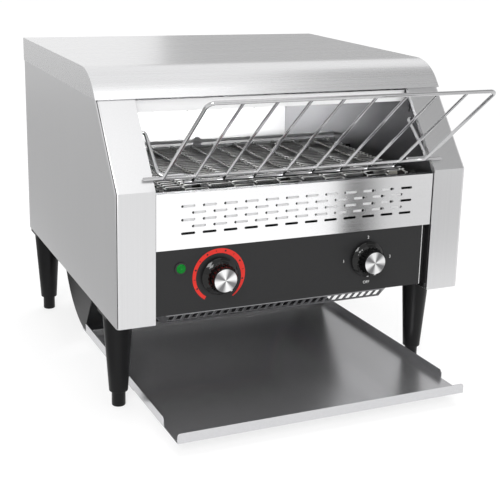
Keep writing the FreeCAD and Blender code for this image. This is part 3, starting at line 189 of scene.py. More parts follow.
def surface(tree, noise, tone, dark, light, rough, bump_mm=0.0, **values):
    """A finish that goes from dark to light with the tone, and whose gloss and height go with the noise."""
    colour = add(tree, "ShaderNodeMix", {"Factor": tone, "A": linear(dark), "B": linear(light)},
                 data_type="RGBA")
    gloss = add(tree, "ShaderNodeMapRange", {"Value": noise, "To Min": rough[0], "To Max": rough[1]})
    sockets = {"Base Color": colour.outputs["Result"], "Roughness": gloss.outputs[0]}
    if bump_mm:
        bump = add(tree, "ShaderNodeBump", {"Height": noise, "Strength": 1.0, "Distance": bump_mm * MM})
        sockets["Normal"] = bump.outputs[0]
    for key, value in values.items():
        sockets[key.replace("_", " ")] = value
    return add(tree, "ShaderNodeBsdfPrincipled", sockets)


def coated(name, dark, light, grain_mm, rough, metallic=0.0, bump_mm=0.0, **values):
    """A material with the same finish all over."""
    material, tree = new_material(name)
    noise = grained(tree, grain_mm)[0]
    shader = surface(tree, noise, noise, dark, light, rough, bump_mm, Metallic=metallic, **values)
    return finished(material, shader)


# Finishes

# Brushed 430 stainless sheet: grey satin with fine upright lines, drawn 1.5 mm apart to show
upright_steel = coated("brushed_stainless_upright", "CFCFD0", "D8D8D9", (1.5, 1.5, 400.0), (0.26, 0.34),
                       1.0, 0.006)

# The same sheet with its lines from side to side, as on the vent panel and the cover
level_steel = coated("brushed_stainless_level", "DCDCDD", "E8E8E9", (400.0, 1.6, 1.6), (0.24, 0.31),
                     1.0, 0.01)

# The tray's sheet: the lines run to the front, and it is smoother and mirrors the dark underside
tray_steel = coated("brushed_stainless_tray", "C4C4C6", "D2D2D4", (1.8, 400.0, 1.8), (0.20, 0.27), 0.87, 0.01)

# The vent panel's sheet: the same steel with a finer, brighter polish that mirrors softly
vent_steel = coated("polished_stainless", "F0F0F1", "F6F6F7", (400.0, 1.6, 1.6), (0.10, 0.14), 1.0, 0.003)

# Aluminised sheet inside the chamber: pale and half matt, it throws the light about
bright_sheet = coated("aluminised_sheet", "D6D6D7", "E2E2E3", (300.0, 6.0, 6.0), (0.36, 0.46), 0.35, 0.01)

# Hood strip over the mouth: satin and white
satin_sheet = coated("satin_sheet", "F0F0F1", "F8F8F8", (300.0, 6.0, 6.0), (0.34, 0.42), 0.6, 0.005)

# Guard under the panel: plain sheet, its colour darkened as painted shade under the panel
guard_steel_painted_shade = coated("guard_sheet_painted_shade", "828284", "949496", (4.0, 4.0, 4.0), (0.28, 0.36), 0.85, 0.01)

# Belt rails and wheels: steel that the heat has scaled brown
dulled_steel = coated("heat_dulled_steel", "2B2A29", "3A3937", (20.0, 4.0, 4.0), (0.35, 0.45), 1.0)

# Heat-proof black stove paint on the chute: nearly matt
stove_paint = coated("black_stove_paint", "101011", "18181A", (2.0, 2.0, 2.0), (0.42, 0.55), 0.0, 0.02,
                     Specular_IOR_Level=0.4)

# Moulded black nylon on legs, feet and gland: satin with a soft upright sheen
moulded_nylon = coated("moulded_black_nylon", "0B0B0C", "111112", (1.6, 1.6, 6.0), (0.34, 0.42), 0.0, 0.015,
                       Specular_IOR_Level=0.2)

# Phenolic resin on the knobs: deep black with a hard gloss
phenolic = coated("black_phenolic_resin", "050505", "0A0A0A", (3.0, 3.0, 3.0), (0.06, 0.10), 0.0, 0.003,
                  Specular_IOR_Level=0.35)

# Chromed steel wire on the rack and the guards: bright with dark mirrored lines
chrome_wire = coated("chromed_wire", "B4B4B5", "C6C6C7", (5.0, 5.0, 5.0), (0.05, 0.08), 1.0)

# Turned and zinc plated steel on shafts, wheels, screws and chain
machined = coated("zinc_plated_steel", "A3A5A6", "B9BBBC", (2.0, 2.0, 2.0), (0.28, 0.38), 1.0, 0.01)

# Steatite ends of the heaters: chalky off-white
steatite = coated("steatite_ceramic", "DAD6CB", "E6E3DA", (1.5, 1.5, 1.5), (0.6, 0.7), 0.0, 0.02)

# Oxidised resistance wire: dull grey brown
resistance_wire = coated("oxidised_resistance_wire", "5A534D", "77706A", (1.0, 1.0, 1.0), (0.45, 0.6), 1.0)

# Screen printed enamel: the scale's red and the white of numbers and pointers
red_print = coated("red_screen_print", "CE2A22", "DC342B", (2.0, 2.0, 2.0), (0.4, 0.5),
                   Specular_IOR_Level=0.25)
white_print = coated("white_screen_print", "DADADA", "E8E8E8", (1.0, 1.0, 1.0), (0.45, 0.55))

# Cast motor housing and nylon fittings inside the base
motor_paint = coated("grey_hammer_paint", "6A6D6F", "7A7D7F", (3.0, 3.0, 3.0), (0.35, 0.5), 0.0, 0.05)
white_nylon = coated("natural_nylon", "D8D6CF", "E4E2DC", (2.0, 2.0, 2.0), (0.45, 0.55), 0.0, 0.01)
inner_plastic = coated("black_abs", "1A1A1B", "232324", (1.5, 1.5, 1.5), (0.4, 0.5), 0.0, 0.02)

# Clear fused quartz: see-through with a faint sheen
quartz = coated("clear_quartz", "F0F2F3", "F0F2F3", (40.0, 5.0, 5.0), (0.03, 0.08),
                Transmission_Weight=0.9, IOR=1.46)

# Green polycarbonate lens: lit softly from behind
green_lens = coated("green_polycarbonate", "044414", "0A6A22", (1.5, 1.5, 1.5), (0.12, 0.2),
                    Specular_IOR_Level=0.25, Emission_Color=linear("14B43E"), Emission_Strength=0.22)


def belt_finish():
    """Spring wire of the belt: bright at the mouth, with painted shade greying it further in, and below on the
    way back painted nearly black as the shade under the upper run; random spots vary its tone."""
    material, tree = new_material("stainless_belt_wire")
    noise, along = grained(tree, (8.0, 30.0, 8.0))
    middle = centre_of("idler_shaft").z + belt_wheel_radius / 2 * MM
    # painted shade: the lower run, shaded by the upper run, goes nearly black; the depth darkening is painted
    # shade too
    upper = add(tree, "ShaderNodeMath", {0: along["Z"], 1: middle}, operation="GREATER_THAN")
    depth = add(tree, "ShaderNodeMapRange", {"Value": along["Y"], "From Min": belt_shade_depth[0] * MM,
                                             "From Max": belt_shade_depth[1] * MM, "To Min": 1.0,
                                             "To Max": belt_shade_share})
    spots = add(tree, "ShaderNodeMapRange", {"Value": noise, "To Min": 0.75, "To Max": 1.0})
    shade_and_spots = add(tree, "ShaderNodeMath", {0: depth.outputs[0], 1: spots.outputs[0]}, operation="MULTIPLY")
    tone = add(tree, "ShaderNodeMath", {0: upper.outputs[0], 1: shade_and_spots.outputs[0]}, operation="MULTIPLY")
    shader = surface(tree, noise, tone.outputs[0], "1B1A19", "F6F5F4", (0.26, 0.34), Metallic=1.0)
    return finished(material, shader)


def wall_finish():
    """Aluminised side walls of the chamber: painted shade darkens them more and more towards the mouth, with a
    dark seam at their rear edge."""
    material, tree = new_material("aluminised_sheet_painted_shade")
    noise, along = grained(tree, (6.0, 300.0, 6.0))
    seam_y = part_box("inner_wall_right")[1][1] - seam_depth * MM
    # painted shade: the walls get darker towards the mouth, as the light from the rear falls off
    depth = add(tree, "ShaderNodeMapRange", {"Value": along["Y"], "From Min": wall_shade_depth[0] * MM,
                                             "From Max": wall_shade_depth[1] * MM})
    seam = add(tree, "ShaderNodeMath", {0: along["Y"], 1: seam_y}, operation="LESS_THAN")
    tone = add(tree, "ShaderNodeMath", {0: depth.outputs[0], 1: seam.outputs[0]}, operation="MULTIPLY")
    shader = surface(tree, noise, tone.outputs[0], "48484A", "BCBCBE", (0.30, 0.38), 0.01, Metallic=0.92)
    return finished(material, shader)


def rear_finish():
    """Aluminised rear wall: white above the belt, with a painted shadow darkening it below the belt."""
    material, tree = new_material("aluminised_sheet_white")
    noise, along = grained(tree, (300.0, 6.0, 6.0))
    # painted shadow: dark below the belt, white above it
    height = add(tree, "ShaderNodeMapRange", {"Value": along["Z"], "From Min": rear_shadow_height[0] * MM,
                                              "From Max": rear_shadow_height[1] * MM})
    shader = surface(tree, noise, height.outputs[0], "1C1A19", "F5F5F6", (0.40, 0.50), 0.01, Metallic=0.15)
    return finished(material, shader)


def shield_finish():
    """Sheet painted nearly black as the shade under the belt, with the front fold behind the slots kept as a
    bright lit copy.
    """
    material, tree = new_material("shield_sheet_shaded_and_lit")
    noise, along = grained(tree, (60.0, 8.0, 8.0))
    fold_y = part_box("heat_shield")[0][1] + fold_depth * MM
    # painted shade: all but the front fold is the dark copy of the sheet
    fold = add(tree, "ShaderNodeMath", {0: along["Y"], 1: fold_y}, operation="LESS_THAN")
    shaded_copy = surface(tree, noise, noise, "141312", "1E1C1B", (0.4, 0.55), Metallic=0.5)
    bright = surface(tree, noise, noise, "F4F4F5", "FAFAFA", (0.4, 0.55), Metallic=0.1)
    mix = add(tree, "ShaderNodeMixShader", {0: fold.outputs[0], 1: shaded_copy.outputs[0], 2: bright.outputs[0]})
    return finished(material, mix)


def panel_finish():
    """Satin black powder coat, with a painted highlight along the panel's right end edge: a narrow band of
    bright metal colour.
    """
    material, tree = new_material("black_powder_coat")
    noise, along = grained(tree, (1.2, 1.2, 1.2))
    # painted highlight: bright metal colour where the rounded right edge would catch the light
    start = add(tree, "ShaderNodeMath", {0: along["X"], 1: painted_highlight_edge[0] * MM}, operation="GREATER_THAN")
    end = add(tree, "ShaderNodeMath", {0: along["X"], 1: painted_highlight_edge[1] * MM}, operation="LESS_THAN")
    highlight_band = add(tree, "ShaderNodeMath", {0: start.outputs[0], 1: end.outputs[0]}, operation="MULTIPLY")
    coat = surface(tree, noise, noise, "1B1B1C", "232324", (0.42, 0.5), 0.02, Specular_IOR_Level=0.32)
    metal = surface(tree, noise, noise, "E4E4E5", "E4E4E5", (0.3, 0.4), Metallic=0.6)
    mix = add(tree, "ShaderNodeMixShader", {0: highlight_band.outputs[0], 1: coat.outputs[0], 2: metal.outputs[0]})
    return finished(material, mix)


def spun_finish(name, centre):
    """Spun aluminium: a turned disc with fine rings in its bump, and alternating bright and dark rays painted
    into its colour as its reflection.
    """
    material, tree = new_material(name)
    place = add(tree, "ShaderNodeTexCoord").outputs["Object"]
    centred = add(tree, "ShaderNodeVectorMath", {0: place, 1: tuple(centre)}, operation="SUBTRACT")
    along = add(tree, "ShaderNodeSeparateXYZ", {0: centred.outputs[0]}).outputs
    # painted reflection: bright and dark rays by angle round the cap
    angle = add(tree, "ShaderNodeMath", {0: along["Z"], 1: along["X"]}, operation="ARCTAN2")
    rays = add(tree, "ShaderNodeMath", {0: angle.outputs[0], 1: painted_ray_count, 2: painted_ray_turn},
               operation="MULTIPLY_ADD")
    wave = add(tree, "ShaderNodeMath", {0: rays.outputs[0]}, operation="SINE")
    level = add(tree, "ShaderNodeMapRange", {"Value": wave.outputs[0], "From Min": -painted_ray_wave,
                                             "From Max": painted_ray_wave})
    colour = add(tree, "ShaderNodeMix", {"Factor": level.outputs[0], "A": linear("7C7C7D"),
                                         "B": linear("F2F2F2")}, data_type="RGBA")
    reach = add(tree, "ShaderNodeVectorMath", {0: centred.outputs[0]}, operation="LENGTH")
    groove = add(tree, "ShaderNodeMath", {0: reach.outputs["Value"], 1: 2 * math.pi / (spun_ring * MM)},
                 operation="MULTIPLY")
    ripple = add(tree, "ShaderNodeMath", {0: groove.outputs[0]}, operation="SINE")
    bump = add(tree, "ShaderNodeBump", {"Height": ripple.outputs[0], "Strength": 1.0,
                                        "Distance": 0.01 * MM})
    return finished(material, add(tree, "ShaderNodeBsdfPrincipled", {
        "Base Color": colour.outputs["Result"], "Normal": bump.outputs[0], "Metallic": 1.0, "Roughness": 0.3}))


panel_coat = panel_finish()
belt_steel = belt_finish()
shield_sheet_painted_shade = shield_finish()
wall_sheet = wall_finish()
rear_sheet = rear_finish()


# Meshes

def make_piece(name, mesh, material, body, replaced=()):
    piece = bpy.data.objects.new(name, mesh)
    bpy.context.scene.collection.objects.link(piece)
    if material is not None:
        piece.data.materials.clear()
        piece.data.materials.append(material)
    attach(piece, body)
    if replaced:
        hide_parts(*replaced)
    return piece


def body_of(node):
    for body, members in frame["record"]["behaviour"]["bodies"].items():
        if node in members:
            return body
    raise KeyError(node)


def make_node_piece(name, mesh, material, node):
    """A piece that stands for a node: it rides on the node's body, and the node is hidden."""
    return make_piece(name, mesh, material, body_of(node), [node])


def smooth_piece(node, material, sharp, edge_mm):
    """A merged copy of a node's mesh with smooth round faces and, if asked, softened edges."""
    mesh = frame["nodes"][node].data.copy()
    mesh.name = node + "_skin"
    work = bmesh.new()
    work.from_mesh(mesh)
    bmesh.ops.remove_doubles(work, verts=work.verts, dist=merge_distance * MM)
    bmesh.ops.dissolve_limit(work, angle_limit=math.radians(flat_angle), verts=work.verts, edges=work.edges)
    work.to_mesh(mesh)
    work.free()
    for face in mesh.polygons:
        face.use_smooth = True
        face.material_index = 0
    mesh.set_sharp_from_angle(angle=math.radians(sharp))
    piece = make_node_piece(node + "_skin", mesh, material, node)
    if edge_mm:
        bevel = piece.modifiers.new("soft_edges", "BEVEL")
        bevel.width = edge_mm * MM
        bevel.segments = 2
        bevel.limit_method = "ANGLE"
        bevel.angle_limit = math.radians(bevel_angle)


def islands(node):
    """The boxes of a node's separate solids, as lowest and highest corners."""
    work = bmesh.new()
    work.from_mesh(frame["nodes"][node].data)
    bmesh.ops.remove_doubles(work, verts=work.verts, dist=merge_distance * MM)
    todo = set(work.verts)
    boxes = []
    while todo:
        group = [todo.pop()]
        seen = set(group)
        while group:
            vert = group.pop()
            for edge in vert.link_edges:
                other = edge.other_vert(vert)
                if other not in seen:
                    seen.add(other)
                    group.append(other)
        todo -= seen
        low = Vector(min(v.co[i] for v in seen) for i in range(3))
        high = Vector(max(v.co[i] for v in seen) for i in range(3))
        boxes.append((low, high))
    work.free()
    return sorted(boxes, key=lambda pair: tuple(pair[0]))


def turned_mesh(name, profile, place, steps, flutes=0, depth=0.0, fluted=()):
    """Turns a profile of (radius, rise) pairs round a line that points to the front, -Y."""
    mesh = bpy.data.meshes.new(name)
    work = bmesh.new()
    rings = []
    for index, (radius, rise) in enumerate(profile):
        ring = []
        if radius == 0:
            ring = [work.verts.new(place + Vector((0, -rise * MM, 0)))] * steps
        else:
            for step in range(steps):
                angle = 2 * math.pi * step / steps
                cut = depth * (0.5 + 0.5 * math.cos(flutes * angle)) ** 3 if index in fluted else 0.0
                reach = (radius - cut) * MM
                offset = Vector((reach * math.sin(angle), -rise * MM, reach * math.cos(angle)))
                ring.append(work.verts.new(place + offset))
        rings.append(ring)
    for one, other in zip(rings, rings[1:]):
        for step in range(steps):
            after = (step + 1) % steps
            corners = [one[step], other[step], other[after], one[after]]
            unique = list(dict.fromkeys(corners))
            if len(unique) > 2:
                work.faces.new(unique)
    bmesh.ops.recalc_face_normals(work, faces=work.faces)
    work.to_mesh(mesh)
    work.free()
    for face in mesh.polygons:
        face.use_smooth = True
    mesh.set_sharp_from_angle(angle=math.radians(turned_angle))
    return mesh


def run_nodes(name, tree, inputs):
    """Runs a node tree on an empty mesh and returns what it makes as a plain mesh."""
    holder = bpy.data.objects.new(name, bpy.data.meshes.new(name + "_seed"))
    bpy.context.scene.collection.objects.link(holder)
    modifier = holder.modifiers.new("build", "NODES")
    modifier.node_group = tree
    sockets = {item.name: item.identifier for item in tree.interface.items_tree if item.in_out == "INPUT"}
    for key, value in inputs.items():
        modifier[sockets[key]] = value
    graph = bpy.context.evaluated_depsgraph_get()
    mesh = bpy.data.meshes.new_from_object(holder.evaluated_get(graph))
    bpy.data.objects.remove(holder)
    mesh.name = name
    return mesh


def new_tree(name, inputs):
    tree = bpy.data.node_groups.new(name, "GeometryNodeTree")
    for label, kind in inputs:
        tree.interface.new_socket(name=label, in_out="INPUT", socket_type=kind)
    tree.interface.new_socket(name="Geometry", in_out="OUTPUT", socket_type="NodeSocketGeometry")
    return tree, add(tree, "NodeGroupInput")


def end_tree(tree, source, start):
    whole = add(tree, "GeometryNodeRealizeInstances", {"Geometry": source})
    paint = add(tree, "GeometryNodeSetMaterial", {"Geometry": whole.outputs[0],
                                                  "Material": start.outputs["Material"]})
    smooth = add(tree, "GeometryNodeSetShadeSmooth", {"Geometry": paint.outputs[0]})
    add(tree, "NodeGroupOutput", {"Geometry": smooth.outputs[0]})


def guide_curve(name, points, closed):
    curve = bpy.data.curves.new(name, "CURVE")
    curve.dimensions = "3D"
    spline = curve.splines.new("POLY")
    spline.points.add(len(points) - 1)
    for point, place in zip(spline.points, points):
        point.co = (place[0] * MM, place[1] * MM, place[2] * MM, 1.0)
    spline.use_cyclic_u = closed
    guide = bpy.data.objects.new(name, curve)
    bpy.context.scene.collection.objects.link(guide)
    return guide


# Belt: bent wires that hook round their neighbours, set along the loop by a node tree

def belt_path():
    """The loop round both wheels, from the top of the front wheel and down its front."""
    points = []
    for shaft, start in (("idler_shaft", math.pi / 2), ("drive_shaft", -math.pi / 2)):
        centre = centre_of(shaft) / MM
        for step in range(wheel_steps + 1):
            angle = start + math.pi * step / wheel_steps
            points.append((0, centre.y + belt_wheel_radius * math.cos(angle),
                           centre.z + belt_wheel_radius * math.sin(angle)))
    return points


def belt_pitch():
    length = 2 * (centre_of("drive_shaft") - centre_of("idler_shaft")).length / MM
    return (length + 2 * math.pi * belt_wheel_radius) / belt_wires


def wire_line():
    """One wire from side to side. Local Y runs along the belt and local -Z points outwards."""
    pitch = belt_pitch()
    reach = belt_half_width - belt_hook_half
    points = [(-belt_half_width, 0, 0)]
    for place, share in enumerate(belt_hook_share):
        for across, along, out in hook_shape:
            late = belt_stagger if (across > 0) != bool(place % 2) else 0.0
            points.append((share * reach + across * belt_hook_half, max(along, late) * pitch,
                           out * belt_hook_lift))
    points.append((belt_half_width, 0, 0))
    return points


def belt_tree():
    tree, start = new_tree("belt_of_wires", [("Path", "NodeSocketObject"), ("Wire", "NodeSocketObject"),
                                             ("Wires", "NodeSocketInt"), ("Wire Radius", "NodeSocketFloat"),
                                             ("Material", "NodeSocketMaterial")])
    path = add(tree, "GeometryNodeObjectInfo", {"Object": start.outputs["Path"]})
    spots = add(tree, "GeometryNodeCurveToPoints", {"Curve": path.outputs["Geometry"],
                                                    "Count": start.outputs["Wires"]}, mode="COUNT")
    heading = add(tree, "ShaderNodeSeparateXYZ", {0: spots.outputs["Tangent"]})
    turn = add(tree, "ShaderNodeMath", {0: heading.outputs["Z"], 1: heading.outputs["Y"]},
               operation="ARCTAN2")
    lean = add(tree, "ShaderNodeCombineXYZ", {"X": turn.outputs[0]})
    line = add(tree, "GeometryNodeObjectInfo", {"Object": start.outputs["Wire"]})
    section = add(tree, "GeometryNodeCurvePrimitiveCircle", {"Radius": start.outputs["Wire Radius"],
                                                             "Resolution": belt_wire_sides}, mode="RADIUS")
    level_line = add(tree, "GeometryNodeSetCurveNormal", {"Curve": line.outputs["Geometry"]}, mode="Z_UP")
    round_wire = add(tree, "GeometryNodeCurveToMesh", {"Curve": level_line.outputs["Curve"],
                                                       "Profile Curve": section.outputs["Curve"],
                                                       "Fill Caps": True})
    rows = add(tree, "GeometryNodeInstanceOnPoints", {"Points": spots.outputs["Points"],
                                                      "Instance": round_wire.outputs[0],
                                                      "Rotation": lean.outputs[0]})
    end_tree(tree, rows.outputs[0], start)
    return tree


def dress_belt():
    path = guide_curve("belt_guide", belt_path(), True)
    wire = guide_curve("belt_wire_guide", wire_line(), False)
    mesh = run_nodes("belt_wires", belt_tree(), {"Path": path, "Wire": wire, "Wires": belt_wires,
                                                 "Wire Radius": belt_wire_radius * MM,
                                                 "Material": belt_steel})
    bpy.data.objects.remove(path)
    bpy.data.objects.remove(wire)
    make_node_piece("belt_wires", mesh, None, "conveyor_belt")


# Heater coils: helices of resistance wire, one in each quartz tube

def coil_tree():
    tree, start = new_tree("heater_helix", [("Spots", "NodeSocketObject"), ("Length", "NodeSocketFloat"),
                                            ("Radius", "NodeSocketFloat"), ("Turns", "NodeSocketFloat"),
                                            ("Wire Radius", "NodeSocketFloat"),
                                            ("Material", "NodeSocketMaterial")])
    spots = add(tree, "GeometryNodeObjectInfo", {"Object": start.outputs["Spots"]})
    helix = add(tree, "GeometryNodeCurveSpiral", {"Rotations": start.outputs["Turns"],
                                                  "Start Radius": start.outputs["Radius"],
                                                  "End Radius": start.outputs["Radius"],
                                                  "Height": start.outputs["Length"],
                                                  "Resolution": coil_turn_points})
    section = add(tree, "GeometryNodeCurvePrimitiveCircle", {"Radius": start.outputs["Wire Radius"],
                                                             "Resolution": coil_wire_sides}, mode="RADIUS")
    wound = add(tree, "GeometryNodeCurveToMesh", {"Curve": helix.outputs[0],
                                                  "Profile Curve": section.outputs[0], "Fill Caps": True})
    rows = add(tree, "GeometryNodeInstanceOnPoints", {"Points": spots.outputs["Geometry"],
                                                      "Instance": wound.outputs[0],
                                                      "Rotation": (0, math.pi / 2, 0)})
    end_tree(tree, rows.outputs[0], start)
    return tree


def dress_coils():
    boxes = islands("heater_coils")
    low, high = boxes[0]
    radius = (high.y - low.y) / 2 - coil_wire * MM
    seeds = bpy.data.meshes.new("coil_spots")
    seeds.from_pydata([(b[0].x, (b[0].y + b[1].y) / 2, (b[0].z + b[1].z) / 2) for b in boxes], [], [])
    spots = bpy.data.objects.new("coil_spots", seeds)
    bpy.context.scene.collection.objects.link(spots)
    length = high.x - low.x
    mesh = run_nodes("heater_helices", coil_tree(), {"Spots": spots, "Length": length, "Radius": radius,
                                                     "Turns": length / (coil_pitch * MM),
                                                     "Wire Radius": coil_wire * MM,
                                                     "Material": resistance_wire})
    bpy.data.objects.remove(spots)
    make_node_piece("heater_helices", mesh, None, "heater_coils")


# Knobs: a domed skirt, a fluted grip, a white pointer and a spun cap


def knob_sizes(node):
    low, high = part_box(node)
    radius = (high[0] - low[0]) / 2 / MM
    back = panel_front() - knob_clearance * MM
    height = (back - low[1]) / MM
    centre = Vector(((low[0] + high[0]) / 2, back, (low[2] + high[2]) / 2))
    return radius, height, centre


def panel_front():
    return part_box("control_panel")[0][1]


def dress_knob(node, pointer_angle):
    radius, height, centre = knob_sizes(node)
    shares = skirt_share + grip_share + rim_share
    profile = [(r * radius, t * height) for r, t in shares]
    fluted = range(len(skirt_share), len(skirt_share) + len(grip_share))
    mesh = turned_mesh(node + "_grip", profile, centre, knob_steps, knob_flutes, knob_flute_depth, fluted)
    join_spindle(mesh, centre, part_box(node)[1][1])
    make_node_piece(node + "_grip", mesh, phenolic, node)
    for name, rows in (("_pointer", grip_share[3:] + rim_share[:4]), ("_pointer_foot", skirt_share[1:5])):
        line = [(r * radius, t * height) for r, t in rows]
        pointer = pointer_mesh(node + name, line, centre, pointer_angle)
        make_piece(node + name, pointer, white_print, body_of(node))


def join_spindle(mesh, centre, end):
    """Adds the round spindle behind the knob, into the control that it turns."""
    work = bmesh.new()
    work.from_mesh(mesh)
    rings = []
    for y in (centre.y, end):
        ring = []
        for step in range(spindle_steps):
            angle = 2 * math.pi * step / spindle_steps
            ring.append(work.verts.new((centre.x + spindle_radius * MM * math.cos(angle), y,
                                        centre.z + spindle_radius * MM * math.sin(angle))))
        rings.append(ring)
    for i in range(spindle_steps):
        j = (i + 1) % spindle_steps
        work.faces.new((rings[0][i], rings[0][j], rings[1][j], rings[1][i]))
    work.faces.new(rings[0])
    work.faces.new(list(reversed(rings[1])))
    bmesh.ops.recalc_face_normals(work, faces=work.faces)
    work.to_mesh(mesh)
    work.free()


def pointer_mesh(name, line, centre, angle_degrees):
    """A thin raised stripe down the side of the knob, clockwise from the top as seen from the front."""
    mesh = bpy.data.meshes.new(name)
    work = bmesh.new()
    angle = math.radians(angle_degrees)
    out = Vector((math.sin(angle), 0, math.cos(angle)))
    side = Vector((math.cos(angle), 0, -math.sin(angle))) * pointer_width / 2 * MM
    rows = []
    for radius, rise in line:
        skin = centre + out * radius * MM + Vector((0, -rise * MM, 0))
        lift = (out + Vector((0, -1, 0))).normalized() * 2 * print_thickness * MM
        sink = out * -knob_flute_depth * MM
        rows.append([work.verts.new(p) for p in (skin - side + sink, skin - side + lift, skin + side + lift,
                                                 skin + side + sink)])
    for one, other in zip(rows, rows[1:]):
        for i in range(4):
            j = (i + 1) % 4
            work.faces.new((one[i], one[j], other[j], other[i]))
    work.faces.new(rows[0])
    work.faces.new(list(reversed(rows[-1])))
    bmesh.ops.recalc_face_normals(work, faces=work.faces)
    work.to_mesh(mesh)
    work.free()
    return mesh


def dress_cap(node):
    low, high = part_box(node)
    centre = Vector(((low[0] + high[0]) / 2, high[1], (low[2] + high[2]) / 2))
    radius = (high[0] - low[0]) / 2 / MM
    height = (high[1] - low[1]) / MM
    mesh = turned_mesh(node + "_disc", [(r * radius, t * height) for r, t in cap_share], centre, cap_steps)
    make_node_piece(node + "_disc", mesh, spun_finish("spun_" + node, centre), node)


# Pilot lamp: bezel and a domed lens with moulded rings

def dress_lamp():
    low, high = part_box("pilot_lens")
    centre = Vector(((low[0] + high[0]) / 2, high[1], (low[2] + high[2]) / 2))
    radius = (high[0] - low[0]) / 2 / MM
    rise = (high[1] - low[1]) / MM
    bezel = turned_mesh("lamp_bezel", [(r * radius, t * rise) for r, t in bezel_share], centre, lamp_steps)
    make_piece("lamp_bezel", bezel, inner_plastic, body_of("pilot_lens"))
    mesh = turned_mesh("lamp_lens", [(r * radius, t * rise) for r, t in lens_share], centre, lamp_steps)
    make_node_piece("lamp_lens", mesh, green_lens, "pilot_lens")


# Numbers round the selector

def print_number(text, angle_degrees, reach_mm):
    low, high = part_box("selector_knob")
    angle = math.radians(angle_degrees)
    curve = bpy.data.curves.new("number_" + text, "FONT")
    curve.body = text
    curve.size = number_height * font_size_share * MM
    curve.align_x = "CENTER"
    curve.align_y = "CENTER"
    curve.extrude = print_thickness * MM / 2
    letter = bpy.data.objects.new("number_curve", curve)
    bpy.context.scene.collection.objects.link(letter)
    graph = bpy.context.evaluated_depsgraph_get()
    mesh = bpy.data.meshes.new_from_object(letter.evaluated_get(graph))
    bpy.data.objects.remove(letter)
    reach = reach_mm * MM
    place = Vector(((low[0] + high[0]) / 2 + reach * math.sin(angle),
                    panel_front() - print_thickness * MM / 2,
                    (low[2] + high[2]) / 2 + reach * math.cos(angle)))
    mesh.transform(Matrix.Translation(place) @ Matrix.Rotation(math.pi / 2, 4, "X"))
    mesh.name = "number_" + text
    make_piece("number_" + text, mesh, white_print, body_of("control_panel"))


# Screws with domed heads, one for each hole in the rear panel

def screw_tree():
    tree, start = new_tree("rows_of_screws", [("Spots", "NodeSocketObject"), ("Screw", "NodeSocketObject"),
                                              ("Material", "NodeSocketMaterial")])
    spots = add(tree, "GeometryNodeObjectInfo", {"Object": start.outputs["Spots"]})
    screw = add(tree, "GeometryNodeObjectInfo", {"Object": start.outputs["Screw"]})
    rows = add(tree, "GeometryNodeInstanceOnPoints", {"Points": spots.outputs["Geometry"],
                                                      "Instance": screw.outputs["Geometry"]})
    end_tree(tree, rows.outputs[0], start)
    return tree


def screw_mesh(radius, length):
    """Shank and domed head along +Y; the head's seat is at the origin."""
    shank = [(0.0, -length), (shank_share * radius, -length)]
    head = [(r * radius, t * screw_head) for r, t in head_share]
    mesh = turned_mesh("screw", shank + head, Vector((0, 0, 0)), screw_steps)
    mesh.transform(Matrix.Rotation(math.pi, 4, "Z"))
    return mesh


def dress_screws():
    boxes = islands("rear_screws")
    low, high = boxes[0]
    radius = (high.x - low.x) / 2 / MM
    length = (high.y - low.y) / MM
    seat = high.y - screw_head * MM
    seeds = bpy.data.meshes.new("screw_spots")
    seeds.from_pydata([((b[0].x + b[1].x) / 2, seat, (b[0].z + b[1].z) / 2) for b in boxes], [], [])
    spots = bpy.data.objects.new("screw_spots", seeds)
    screw = bpy.data.objects.new("screw_shape", screw_mesh(radius, length - screw_head))
    for item in (spots, screw):
        bpy.context.scene.collection.objects.link(item)
    mesh = run_nodes("rear_screw_rows", screw_tree(), {"Spots": spots, "Screw": screw, "Material": machined})
    for item in (spots, screw):
        bpy.data.objects.remove(item)
    make_node_piece("rear_screw_rows", mesh, None, "rear_screws")


# Dressing of all nodes

smooth_nodes = {
    "top_cover": (level_steel, 25.0, 0.25),
    "side_housing_left": (upright_steel, 25.0, 0.0),
    "side_housing_right": (upright_steel, 25.0, 0.0),
    "return_chute": (stove_paint, 25.0, 0.0),
    "toast_tray": (tray_steel, 30.0, 0.2),
    "control_panel": (panel_coat, 30.0, 0.3),
    "feed_rack": (chrome_wire, 50.0, 0.0),
    "rear_guide": (bright_sheet, 40.0, 0.0),
    "heater_guard": (chrome_wire, 40.0, 0.0),
    "upper_heater_tubes": (quartz, 40.0, 0.0),
    "lower_heater_tubes": (quartz, 40.0, 0.0),
    "ceramic_ends": (steatite, 40.0, 0.3),
    "drive_shaft": (machined, 40.0, 0.3),
    "idler_shaft": (dulled_steel, 40.0, 0.3),
    "shaft_bearings": (machined, 40.0, 0.2),
    "cable_gland": (moulded_nylon, 40.0, 0.3),
    "leg_bolts": (machined, 40.0, 0.3),
    "fan_rotor": (inner_plastic, 40.0, 0.0),
    "thermostat": (steatite, 40.0, 0.3),
    "lower_guard": (guard_steel_painted_shade, 30.0, 0.0),
}
for corner in ("front_left", "front_right", "rear_left", "rear_right"):
    smooth_nodes["leg_" + corner] = (moulded_nylon, 35.0, 0.5)
    smooth_nodes["foot_" + corner] = (moulded_nylon, 35.0, 0.0)

